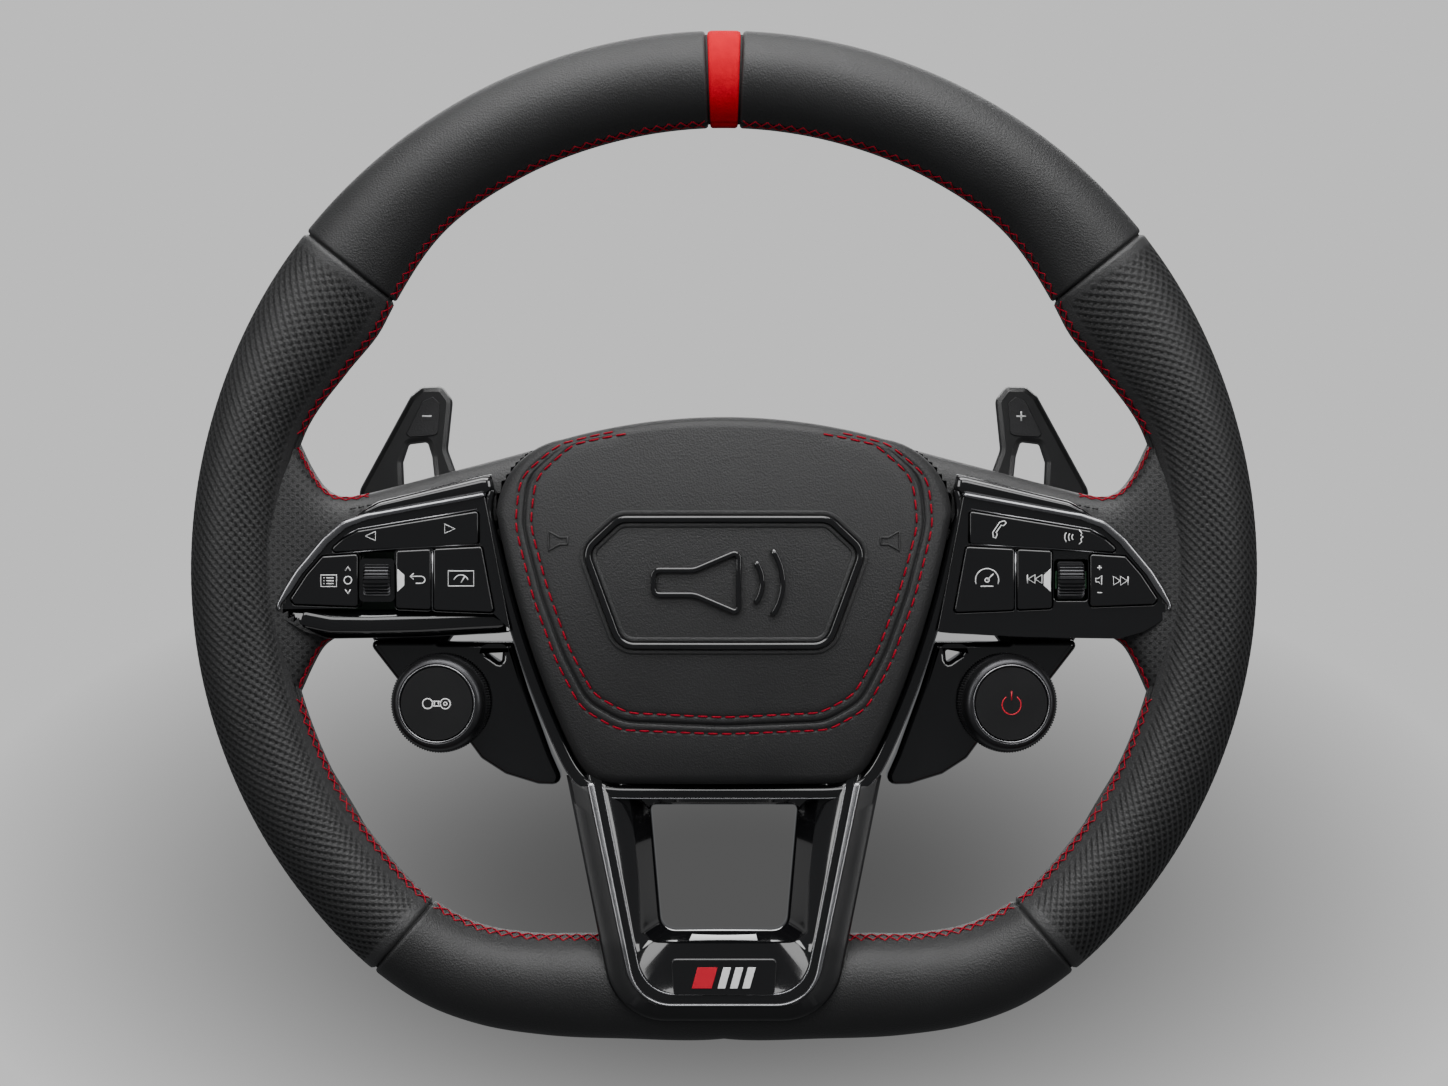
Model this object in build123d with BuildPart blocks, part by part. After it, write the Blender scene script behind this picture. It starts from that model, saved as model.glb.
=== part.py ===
"""Flat-bottomed sports steering wheel with switch pods, shift paddles, a floating horn pad and a ball-lock
quick release hub.

Millimetres. +X is to the driver's right, +Z is up and the driver looks along +Y, so the face of the wheel
points along -Y. The origin is the centre of the quick release socket's mouth, on the steering axis.
A height h is the distance in front of that mouth, so y = -h.
"""

import math
import os

from build123d import *

os.makedirs("parts", exist_ok=True)

SIDES = {"left": -1, "right": 1}

# Rim
RIM_OUTER = 185.0
RIM_PLANE = 80.0  # height of the rim's centreline
RIM_DEPTH = 34.0
LEATHER = 1.2
LEATHER_GAP = 0.1
SEAM_GAP = 0.5
MARKER_WIDTH = 11.8
TOP_SEAM = 38.5  # angle above the horizontal where the smooth top leather meets the grip
BOTTOM_SEAM = -49.2
# angle above the horizontal: inner radius, outer radius
RIM_STATIONS = {
    90: (151.4, 185.0),
    76: (151.4, 185.0),
    62: (151.5, 185.0),
    50: (150.8, 185.0),
    38.5: (145.7, 185.0),
    34: (144.0, 185.0),
    27: (146.6, 184.8),
    18: (152.0, 184.5),
    6: (152.6, 184.6),
    -8: (152.8, 185.0),
    -22: (153.2, 185.3),
    -38: (153.9, 185.6),
    -49.2: (153.7, 185.6),
    -56: (150.4, 184.2),
    -62: (144.5, 180.5),
    -69: (137.0, 174.6),
    -78: (130.8, 168.0),
    -90: (128.0, 164.4),
}

# Armature
ROD_RADIUS, ROD_PLANE = 6.0, 78.0
PLATE_BACK, PLATE_FRONT = 34.0, 42.0
PLATE_RADIUS, PLATE_BORE = 56.0, 12.0
ARM_HALF = 11.0  # half the side arms' width
ARM_BACK = [(34, 34), (46, 46), (58, 57.6), (75, 59.4), (150, 67), (166, 73)]
ARM_FRONT = [(166, 81), (150, 75.5), (87, 64.6), (58, 62.6), (50, 58.5), (36, 42)]
LEG_X = (28.0, 36.0)
LEG_BACK = [(-28, 34), (-60, 52), (-144, 71)]
LEG_FRONT = [(-144, 80), (-58, 60), (-33, 42)]

# Quick release
SOCKET_RADIUS, SOCKET_LAND = 16.0, 8.0
SPLINE_RADIUS, SPLINE_DEPTH, SPLINE_WIDTH, SPLINE_COUNT, SOCKET_END = 14.0, 1.2, 3.2, 6, 24.0
BARREL_RADIUS, CABLE_HOLE = 19.8, 8.0
FLANGE_RADIUS, FLANGE_BACK = 41.0, 28.0
HUB_SCREW_CIRCLE, HUB_SCREW_RADIUS, HUB_SCREW_END = 35.0, 2.5, 40.5
COLLAR_RADIUS = 27.0
BALL_RADIUS, BALL_PLANE, BALL_CENTRE = 3.5, 12.0, 16.32
BALL_ANGLES = {"qr_ball_1": 90, "qr_ball_2": 210, "qr_ball_3": 330}

# Horn pad
PAD_BACK, PAD_CROWN, PAD_SPHERE, PAD_WALL = 68.0, 104.0, 260.0, 3.5
PAD_TOP, PAD_BROW, PAD_SHOULDER, PAD_WIDEST = (0, 50.6), (55, 43.2), (74, 31.2), (78.5, 18)
PAD_FLANK, PAD_CORNER = (68.6, -22), (47, -75.7)
GUIDE_PINS = [(-33, 26), (33, 26), (-33, -26), (33, -26)]
TRAY = [(-52, 34), (52, 34), (52, -28), (44, -58), (-44, -58), (-52, -28)]
TRAY_BASE = 66.0
INFLATOR = (0, -6)
MODULE_NUTS = [(-19.1, 13.1), (19.1, 13.1), (-19.1, -25.1), (19.1, -25.1)]
BEAD = [(-35.5, 16.3), (35.5, 16.3), (46.8, 5.3), (35.5, -27.2), (-35.5, -27.2), (-46.8, 5.3)]
BEAD_WIDTH = 2.8

# Trim
HUB_GAP, HUB_BEZEL = 0.6, 5.0
BEZEL_BACK, BEZEL_FRONT, BEZEL_TOP = 65.0, 88.0, 26.0
POD = [(82.5, 24), (123, 16.5), (130.8, 13.7), (137.2, 8.2), (146.5, -2.9), (153.9, -14.5),
       (152.5, -18.6), (144.6, -23.3), (136.3, -25.6), (104.8, -25.1), (68, -23.3), (68, 26.7)]
POD_BACK, POD_FLOOR, POD_FRONT = 78.0, 80.0, 88.6
BUTTON_BACK, BUTTON_FRONT, BUTTON_GAP = 83.0, 89.8, 0.35
ROCKER = [(84.6, 18.4), (126, 11.6), (131.2, 8.8), (136.6, 4.2), (84.6, 7.2)]
BUTTONS = {
    "hub": [(83.4, 6.2), (99.9, 5.4), (99.9, -15.6), (79.2, -16.4)],
    "inner": [(100.9, 5.3), (112.9, 4.7), (112.9, -15.0), (100.9, -15.5)],
    "outer": [(126.0, 3.6), (138.2, 2.8), (143.6, -3.4), (149.2, -11.8), (148.0, -13.6), (126.0, -14.4)],
}
ROLLER_X, ROLLER_CENTRE, ROLLER_RADIUS = (114.9, 124.1), (-5.4, 85.4), 6.6
ROLLER_POCKET = (114.0, 125.0)
SPOKE = [(60, 39.5), (68, 39.5), (128, 23.5), (146, 20), (158, 20), (158, -22), (60, -22)]
SPOKE_BACK = [(60, 55.5), (128, 59.5), (158, 62.5)]
SPOKE_WALL, SPOKE_FRONT = 2.0, 84.0
TRIM = [(-54.6, -72), (54.6, -72), (43.4, -127.5), (40.1, -142.2), (36, -157.2),
        (-36, -157.2), (-40.1, -142.2), (-43.4, -127.5)]
TRIM_FRONT = [(-70, 86.5), (-130, 98), (-150, 100.5), (-160, 98.5)]
TRIM_BACK = [(-160, 84), (-128, 78), (-70, 65)]
TRIM_WINDOW = [(-25.4, -83.6), (25.4, -83.6), (21.2, -126.3), (-21.2, -126.3)]
TRIM_LINE = [(-47.6, -72), (47.6, -72), (36.8, -130), (32.8, -142), (25.4, -152),
             (-25.4, -152), (-32.8, -142), (-36.8, -130)]

# Paddles
PADDLE_BACK, PADDLE_FRONT = 47.0, 52.0
HINGE_X, HINGE_H, HINGE_PIN, HINGE_BARREL = 60.0, 49.5, 2.0, 3.8
PADDLE = [(60, 13), (76, 14.5), (92.8, 32.3), (96, 39.7), (94.2, 56.8), (98.8, 61.7), (107.6, 57.7),
          (126.6, 25.3), (127.5, 6), (125.2, -26.5), (112.2, -41.3), (104, -36), (92, -20), (76, -9.5), (60, -9.5)]
PADDLE_SLOT = [(109.4, 41.5), (102.5, 42.5), (101.5, 37), (100.7, 27), (110.8, 24), (111.3, 36)]

# Satellite knobs
KNOB_CENTRE, KNOB_TILT = (97.6, -47.9), 7.0
KNOB_RADIUS, KNOB_BORE, CAP_RADIUS, KNOB_BASE = 16.6, 13.2, 12.9, 80.0
SATELLITE = [(60, -66), (55.2, -76.8), (64.6, -76.5), (76, -73), (84.5, -67.5), (90, -60), (106, -56),
             (112.2, -42), (124.5, -26.2), (99.8, -26.2), (99.2, -27), (70, -27), (64, -40)]
SATELLITE_WINDOW = [(77, -29.8), (84.5, -29.8), (77.4, -34.5)]


def front(height):
    """The plane facing the driver at a height: local x is X and local y is Z."""
    return Plane.XZ.offset(height)


def flipped(points, side):
    """Points of a right-hand outline, mirrored when side is -1."""
    return [(side * x, z) for x, z in points]


def slab(points, back, face, radius=0.0, grow=0.0, mode=Mode.ADD):
    """An outline in the front view, from height back to height face, with rounded corners if asked for."""
    with BuildSketch(front(back)) as outline:
        with BuildLine():
            if radius:
                FilletPolyline(*points, radius=radius, close=True)
            else:
                Polyline(*points, close=True)
        make_face()
        if grow:
            offset(amount=grow)
    extrude(outline.sketch, amount=face - back, mode=mode)


def disc(radius, back, face, places=((0, 0),), mode=Mode.ADD):
    """Round slabs about axes parallel to the steering axis."""
    with BuildSketch(front(back)) as outline:
        with Locations(*places):
            Circle(radius)
    extrude(outline.sketch, amount=face - back, mode=mode)


def side_profile(points, x0, x1, grow=0.0, mode=Mode.ADD):
    """A profile of (z, h) points seen from the side, from x0 to x1."""
    with BuildSketch(Plane.YZ.offset(x0)) as outline:
        Polygon(*[(-h, z) for z, h in points], align=None)
        if grow:
            offset(amount=grow)
    extrude(outline.sketch, amount=x1 - x0, mode=mode)


def plan_profile(points, side, z0, z1, grow=0.0, mode=Mode.ADD):
    """A profile of (x, h) points seen from above, from z0 to z1."""
    with BuildSketch(Plane.XY.offset(z0)) as outline:
        Polygon(*[(side * x, -h) for x, h in points], align=None)
        if grow:
            offset(amount=grow)
    extrude(outline.sketch, amount=z1 - z0, mode=mode)


def rim_plane(angle, radius, height, side):
    """The plane across the rim at an angle: local x points outwards and local y along +Y."""
    c, s = side * math.cos(math.radians(angle)), math.sin(math.radians(angle))
    return Plane(origin=(radius * c, -height, radius * s), x_dir=(c, 0, s), z_dir=(-s, 0, c))


def rim_run(start, end, side, grow=0.0, mode=Mode.ADD):
    """The rim from one angle to another, as a loft of ovals, grown outwards by grow."""
    ovals = []
    for angle, (inner, outer) in RIM_STATIONS.items():
        if start >= angle >= end:
            with BuildSketch(rim_plane(angle, (inner + outer) / 2, RIM_PLANE, side)) as oval:
                Ellipse((outer - inner) / 2 + grow, RIM_DEPTH / 2 + grow)
            ovals.append(oval.sketch)
    loft(ovals, mode=mode)


def seam(angle, side):
    """A thin radial cut across the rim."""
    with BuildSketch(rim_plane(angle, 168, RIM_PLANE, side)) as cut:
        Rectangle(60, 50)
    extrude(cut.sketch, amount=SEAM_GAP / 2, both=True, mode=Mode.SUBTRACT)


def leather(start, end, side):
    """A tube of leather round the foam."""
    rim_run(start, end, side)
    rim_run(start, end, side, grow=-LEATHER, mode=Mode.SUBTRACT)


def rod_run(side):
    """Half of the armature's rim rod."""
    circles = []
    for angle, (inner, outer) in RIM_STATIONS.items():
        with BuildSketch(rim_plane(angle, (inner + outer) / 2, ROD_PLANE, side)) as circle:
            Circle(ROD_RADIUS)
        circles.append(circle.sketch)
    loft(circles)


def side_arm(side, grow=0.0, mode=Mode.ADD):
    """A side arm of the armature."""
    plan_profile(ARM_BACK + ARM_FRONT, side, -ARM_HALF - grow, ARM_HALF + grow, grow, mode)


def leg(side, grow=0.0, mode=Mode.ADD):
    """A lower leg of the armature."""
    side_profile(LEG_BACK + LEG_FRONT, side * LEG_X[0] - side * grow, side * LEG_X[1] + side * grow, grow, mode)


def clear_rim(side, grow=0.3):
    """Cuts away what the rim would pass through."""
    rim_run(TOP_SEAM, BOTTOM_SEAM, side, grow, Mode.SUBTRACT)


def pad_outline(height, grow=0.0):
    """The horn pad's outline at a height."""
    with BuildSketch(front(height)) as outline:
        with BuildLine():
            ThreePointArc(*flipped([PAD_BROW], -1), PAD_TOP, PAD_BROW)
            for side in SIDES.values():
                ThreePointArc(*flipped([PAD_BROW, PAD_SHOULDER, PAD_WIDEST], side))
                ThreePointArc(*flipped([PAD_WIDEST, PAD_FLANK, PAD_CORNER], side))
            Line(PAD_CORNER, (-PAD_CORNER[0], PAD_CORNER[1]))
        make_face()
        fillet(outline.vertices().group_by(Axis.Y)[0], radius=12)
        if grow:
            offset(amount=grow)
    return outline.sketch


def hub_block(back, face, grow, mode=Mode.ADD):
    """The pad's outline grown by grow, from height back to height face."""
    extrude(pad_outline(back, grow), amount=face - back, mode=mode)


def clear_hub(back):
    """Cuts away what the pad and its bezel occupy in front of height back."""
    hub_block(back, 120, HUB_GAP + HUB_BEZEL, Mode.SUBTRACT)


def dome(radius, mode):
    """A ball centred behind the pad, for its crowned face."""
    with Locations((0, PAD_SPHERE - PAD_CROWN, 0)):
        Sphere(radius, mode=mode)


def knob_plane(side, height):
    """The plane of a satellite knob, leaning outwards, at a height along its own axis."""
    lean = math.radians(KNOB_TILT)
    axis = Vector(side * math.sin(lean), -math.cos(lean), 0)
    base = Vector(side * KNOB_CENTRE[0], -KNOB_BASE, KNOB_CENTRE[1])
    return Plane(origin=base + axis * height, x_dir=(math.cos(lean), side * math.sin(lean), 0), z_dir=axis)


def knob_disc(side, radius, back, face, mode=Mode.ADD):
    """A round slab on a satellite knob's axis."""
    with BuildSketch(knob_plane(side, back)) as outline:
        Circle(radius)
    extrude(outline.sketch, amount=face - back, mode=mode)


def save(part, name):
    """Labels a finished piece and writes its STEP file."""
    part.label = name
    export_step(part, f"parts/{name}.step")


# ---------------------------------------------------------------- armature and rim

hub_screw_places = [(HUB_SCREW_CIRCLE * math.cos(a), HUB_SCREW_CIRCLE * math.sin(a))
                    for a in [math.radians(60 * k) for k in range(6)]]
cover_screw_places = [(-35.4, -35.4), (35.4, -35.4), (35.4, 35.4), (-35.4, 35.4)]

with BuildPart() as armature:
    disc(PLATE_RADIUS, PLATE_BACK, PLATE_FRONT)
    hub_block(PLATE_BACK, PLATE_FRONT, -8.5, Mode.INTERSECT)
    for side in SIDES.values():
        rod_run(side)
        side_arm(side)
        leg(side)
    disc(PLATE_BORE, PLATE_BACK, PLATE_FRONT, mode=Mode.SUBTRACT)
    disc(HUB_SCREW_RADIUS + 0.05, PLATE_BACK, PLATE_BACK + 7, hub_screw_places, Mode.SUBTRACT)
    disc(1.55, PLATE_BACK, PLATE_BACK + 6.5, cover_screw_places, Mode.SUBTRACT)
    disc(3.0, PLATE_FRONT - 4, PLATE_FRONT, GUIDE_PINS, Mode.SUBTRACT)
save(armature.part, "armature")

with BuildPart() as rim_foam:
    for side in SIDES.values():
        for start, end in ((90, TOP_SEAM), (TOP_SEAM, BOTTOM_SEAM), (BOTTOM_SEAM, -90)):
            rim_run(start, end, side, -LEATHER - LEATHER_GAP)
    add(armature.part, mode=Mode.SUBTRACT)
save(rim_foam.part, "rim_foam")

for name, side in SIDES.items():
    with BuildPart() as leather_top:
        leather(90, TOP_SEAM, side)
        seam(TOP_SEAM, side)
        with Locations((0, -RIM_PLANE, RIM_OUTER - 17)):
            Box(MARKER_WIDTH + 2 * SEAM_GAP, RIM_DEPTH + 6, RIM_DEPTH + 9, mode=Mode.SUBTRACT)
    save(leather_top.part, f"leather_top_{name}")

    with BuildPart() as leather_grip:
        leather(TOP_SEAM, BOTTOM_SEAM, side)
        seam(TOP_SEAM, side)
        seam(BOTTOM_SEAM, side)
        side_arm(side, 0.3, Mode.SUBTRACT)
    save(leather_grip.part, f"leather_grip_{name}")

with BuildPart() as leather_bottom:
    for side in SIDES.values():
        leather(BOTTOM_SEAM, -90, side)
    for side in SIDES.values():
        seam(BOTTOM_SEAM, side)
        leg(side, 0.3, Mode.SUBTRACT)
save(leather_bottom.part, "leather_bottom")

with BuildPart() as centre_marker:
    for side in SIDES.values():
        leather(90, TOP_SEAM, side)
    with Locations((0, -RIM_PLANE, RIM_OUTER - 17)):
        Box(MARKER_WIDTH, RIM_DEPTH + 6, RIM_DEPTH + 9, mode=Mode.INTERSECT)
save(centre_marker.part, "centre_marker")

# ---------------------------------------------------------------- quick release hub

with BuildPart() as qr_body:
    disc(BARREL_RADIUS, 0, FLANGE_BACK)
    disc(FLANGE_RADIUS, FLANGE_BACK, PLATE_BACK)
    disc(SOCKET_RADIUS, 0, SOCKET_LAND, mode=Mode.SUBTRACT)
    disc(SPLINE_RADIUS, SOCKET_LAND, SOCKET_END, mode=Mode.SUBTRACT)
    with BuildSketch(front(SOCKET_LAND)):
        with PolarLocations(SPLINE_RADIUS - 1 + SPLINE_DEPTH / 2, SPLINE_COUNT):
            Rectangle(SPLINE_DEPTH + 2, SPLINE_WIDTH)
    extrude(amount=SOCKET_END - SOCKET_LAND, mode=Mode.SUBTRACT)
    disc(CABLE_HOLE, SOCKET_END, PLATE_BACK, mode=Mode.SUBTRACT)
    disc(HUB_SCREW_RADIUS + 0.25, FLANGE_BACK, PLATE_BACK, hub_screw_places, Mode.SUBTRACT)
    with BuildSketch(front(2.2)):
        Circle(BARREL_RADIUS + 1)
        Circle(BARREL_RADIUS - 0.8, mode=Mode.SUBTRACT)
    extrude(amount=1.6, mode=Mode.SUBTRACT)
    for angle in BALL_ANGLES.values():
        with BuildSketch(Plane.XY.rotated((0, 90 - angle, 0)).offset(SPLINE_RADIUS - 1)):
            with Locations((0, -BALL_PLANE)):
                Circle(BALL_RADIUS + 0.05)
        extrude(amount=BARREL_RADIUS - SPLINE_RADIUS + 2, mode=Mode.SUBTRACT)
save(qr_body.part, "qr_body")

with BuildPart() as qr_retaining_ring:
    with BuildSketch(front(2.2)):
        Circle(24)
        Circle(BARREL_RADIUS - 0.8, mode=Mode.SUBTRACT)
        with Locations((0, -22)):
            Rectangle(6, 10, mode=Mode.SUBTRACT)
    extrude(amount=1.6)
save(qr_retaining_ring.part, "qr_retaining_ring")

with BuildPart() as qr_screws:
    disc(4.25, FLANGE_BACK - 5, FLANGE_BACK, hub_screw_places)
    disc(HUB_SCREW_RADIUS, FLANGE_BACK, HUB_SCREW_END, hub_screw_places)
    with BuildSketch(front(FLANGE_BACK - 5)):
        with Locations(*hub_screw_places):
            RegularPolygon(2, 6, major_radius=False)
    extrude(amount=2.5, mode=Mode.SUBTRACT)
save(qr_screws.part, "qr_screws")

with BuildPart() as qr_collar:
    with BuildSketch(Plane.XY):
        Polygon((21.55, -4), (29.5, -4), (29.5, -7.5), (COLLAR_RADIUS, -8.5), (COLLAR_RADIUS, -20), (24.3, -20),
                (24.3, -16), (BARREL_RADIUS + 0.05, -16), (BARREL_RADIUS + 0.05, -12.8), (21.55, -4.95), align=None)
    revolve(axis=Axis.Y)
    with BuildSketch(front(8.5)):
        with PolarLocations(COLLAR_RADIUS + 0.3, 24):
            Rectangle(1.8, 1.6)
    extrude(amount=11.5, mode=Mode.SUBTRACT)
save(qr_collar.part, "qr_collar")

with BuildPart() as qr_spring:
    with BuildLine() as coil:
        Helix(pitch=3.1, height=9.6, radius=22.0, center=(0, -17.2, 0), direction=(0, -1, 0))
    with BuildSketch(Plane(origin=coil.line @ 0, z_dir=coil.line % 0)):
        Circle(0.7)
    sweep(path=coil.line, is_frenet=True)
save(qr_spring.part, "qr_spring")

for ball, angle in BALL_ANGLES.items():
    with BuildPart() as qr_ball:
        with Locations((BALL_CENTRE * math.cos(math.radians(angle)), -BALL_PLANE,
                        BALL_CENTRE * math.sin(math.radians(angle)))):
            Sphere(BALL_RADIUS)
    save(qr_ball.part, ball)

# ---------------------------------------------------------------- horn pad and airbag

with BuildPart() as pad_cover:
    hub_block(PAD_BACK, 112, 0)
    dome(PAD_SPHERE, Mode.INTERSECT)
    with BuildPart(mode=Mode.PRIVATE) as hollow:
        hub_block(PAD_BACK, 112, -PAD_WALL)
        dome(PAD_SPHERE - PAD_WALL, Mode.INTERSECT)
        slab(TRAY, 66, 112, radius=4, grow=2.7, mode=Mode.SUBTRACT)
    with BuildPart(mode=Mode.PRIVATE) as tray_room:
        slab(TRAY, 66, 112, radius=4, grow=0.2)
        dome(PAD_SPHERE - PAD_WALL, Mode.INTERSECT)
    add([hollow.part, tray_room.part], mode=Mode.SUBTRACT)
save(pad_cover.part, "pad_cover")

with BuildPart() as pad_bead:
    slab(BEAD, 96, 112, radius=5, grow=BEAD_WIDTH / 2)
    slab(BEAD, 96, 112, radius=5, grow=-BEAD_WIDTH / 2, mode=Mode.SUBTRACT)
    dome(PAD_SPHERE + 2.0, Mode.INTERSECT)
    dome(PAD_SPHERE, Mode.SUBTRACT)
save(pad_bead.part, "pad_bead")

with BuildPart() as pad_symbol:
    slab([(-22, -8.2), (2, -8.2), (20, -16.5), (20, 6.5), (2, -1.8), (-22, -1.8)], 98, 112)
    disc(5.2, 98, 112, [(-24, -5)])
    slab([(24, -15), (26.5, -15), (26.5, 5), (24, 5)], 98, 112)
    dome(PAD_SPHERE + 1.0, Mode.INTERSECT)
    dome(PAD_SPHERE, Mode.SUBTRACT)
save(pad_symbol.part, "pad_symbol")

with BuildPart() as airbag_housing:
    slab(TRAY, TRAY_BASE, TRAY_BASE + 10, radius=4)
    slab(TRAY, TRAY_BASE + 2, TRAY_BASE + 10, radius=4, grow=-2, mode=Mode.SUBTRACT)
    disc(18.5, TRAY_BASE, TRAY_BASE + 2, [INFLATOR], Mode.SUBTRACT)
    disc(2.2, TRAY_BASE, TRAY_BASE + 2, MODULE_NUTS, Mode.SUBTRACT)
    disc(3.3, TRAY_BASE, TRAY_BASE + 2, GUIDE_PINS, Mode.SUBTRACT)
save(airbag_housing.part, "airbag_housing")

with BuildPart() as inflator:
    disc(22, 46, 64, [INFLATOR])
    disc(31, 64, 66, [INFLATOR])
    disc(18, 66, 72, [INFLATOR])
    disc(2.0, 66, 71.5, MODULE_NUTS)
save(inflator.part, "inflator")

with BuildPart() as module_nuts:
    with BuildSketch(front(TRAY_BASE + 2)):
        with Locations(*MODULE_NUTS):
            RegularPolygon(3.5, 6, major_radius=False)
            Circle(2.0, mode=Mode.SUBTRACT)
    extrude(amount=3)
save(module_nuts.part, "module_nuts")

with BuildPart() as airbag_cushion:
    slab(TRAY, TRAY_BASE + 2, 88, radius=4, grow=-2.5)
    disc(19, 68, 73, [INFLATOR], Mode.SUBTRACT)
    disc(4.5, 68, 72, MODULE_NUTS, Mode.SUBTRACT)
    disc(6.5, 68, 75, GUIDE_PINS, Mode.SUBTRACT)
    with BuildSketch(front(84)):
        with GridLocations(13, 0, 6, 1):
            with Locations((0, -12)):
                Rectangle(1.5, 120)
    extrude(amount=4, mode=Mode.SUBTRACT)
save(airbag_cushion.part, "airbag_cushion")

with BuildPart() as horn_guide_pins:
    disc(3.0, PLATE_FRONT - 4, 68.3, GUIDE_PINS)
    disc(5.0, 68.3, 70.8, GUIDE_PINS)
save(horn_guide_pins.part, "horn_guide_pins")

with BuildPart() as horn_springs:
    for x, z in GUIDE_PINS:
        coil = Helix(pitch=3.2, height=22.2, radius=4.6, center=(x, -42.6, z), direction=(0, -1, 0))
        with BuildSketch(Plane(origin=coil @ 0, z_dir=coil % 0)):
            Circle(0.5)
        sweep(path=coil, is_frenet=True)
save(horn_springs.part, "horn_springs")

# ---------------------------------------------------------------- hub trim and lower spoke

with BuildPart() as hub_bezel:
    hub_block(BEZEL_BACK, BEZEL_FRONT, HUB_GAP + HUB_BEZEL - 0.2)
    hub_block(BEZEL_BACK, BEZEL_FRONT, HUB_GAP, Mode.SUBTRACT)
    with Locations((0, -76, BEZEL_TOP + 50)):
        Box(200, 60, 100, mode=Mode.SUBTRACT)
save(hub_bezel.part, "hub_bezel")

with BuildPart() as back_cover:
    hub_block(30, 64.8, -6)
    hub_block(32, 64.8, -8, Mode.SUBTRACT)
    disc(4.0, 32, PLATE_BACK, cover_screw_places)
    disc(FLANGE_RADIUS + 1, 30, 32, mode=Mode.SUBTRACT)
    disc(1.8, 30, PLATE_BACK, cover_screw_places, Mode.SUBTRACT)
    for side in SIDES.values():
        slab(flipped([(50, -19.5), (90, -19.5), (90, 20), (50, 20)], side), 45, 66, mode=Mode.SUBTRACT)
        slab(flipped([(56, -27), (90, -27), (90, 43), (56, 43)], side), 54.4, 66, mode=Mode.SUBTRACT)
        slab(flipped([(26.5, -60), (37.5, -60), (37.5, -75), (26.5, -75)], side), 49, 66, mode=Mode.SUBTRACT)
save(back_cover.part, "back_cover")

with BuildPart() as back_cover_screws:
    disc(3.0, 28, 30, cover_screw_places)
    disc(1.5, 30, 40, cover_screw_places)
    with BuildSketch(front(28)):
        with Locations(*cover_screw_places):
            RegularPolygon(1.25, 6, major_radius=False)
    extrude(amount=1.2, mode=Mode.SUBTRACT)
save(back_cover_screws.part, "back_cover_screws")


def trim_ribbon(depth, grow, mode=Mode.ADD):
    """What lies between the lower trim's face moved forwards by grow and the same face less depth."""
    face = [(z, h + grow) for z, h in TRIM_FRONT]
    side_profile(face + [(z, h - depth) for z, h in face[::-1]], -70, 70, mode=mode)


with BuildPart() as lower_trim_inlay:
    slab(TRIM_LINE, 60, 110, radius=3, grow=0.6)
    slab(TRIM_LINE, 60, 110, radius=3, grow=-0.6, mode=Mode.SUBTRACT)
    trim_ribbon(0.9, 0.3, Mode.INTERSECT)
    clear_hub(60)
save(lower_trim_inlay.part, "lower_trim_inlay")

with BuildPart() as lower_trim:
    slab(TRIM, 60, 110, radius=3)
    side_profile(TRIM_FRONT + TRIM_BACK, -70, 70, mode=Mode.INTERSECT)
    slab(TRIM_WINDOW, 60, 110, radius=3, mode=Mode.SUBTRACT)
    for side in SIDES.values():
        rim_run(BOTTOM_SEAM, -90, side, 0.3, Mode.SUBTRACT)
    add(lower_trim_inlay.part, mode=Mode.SUBTRACT)
    clear_hub(60)
save(lower_trim.part, "lower_trim")

with BuildPart() as badge_plate:
    slab([(-18, -134.4), (18, -134.4), (17.2, -146.7), (-17.2, -146.7)], 90, 110, radius=1.5)
    trim_ribbon(0.7, 0.7, Mode.INTERSECT)
save(badge_plate.part, "badge_plate")

with BuildPart() as lower_spoke_back:
    for side in SIDES.values():
        slab(flipped([(25.7, -71), (50, -71), (42.5, -127), (25.7, -127)], side), 44, 80)
    side_profile([(-71, 47.5), (-127, 60.5), (-127, 77.2), (-71, 64.7)], -60, 60, mode=Mode.INTERSECT)
    for side in SIDES.values():
        leg(side, 0.3, Mode.SUBTRACT)
        rim_run(BOTTOM_SEAM, -90, side, 0.3, Mode.SUBTRACT)
    clear_hub(64)
save(lower_spoke_back.part, "lower_spoke_back")

# ---------------------------------------------------------------- spokes, pods and switches

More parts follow.
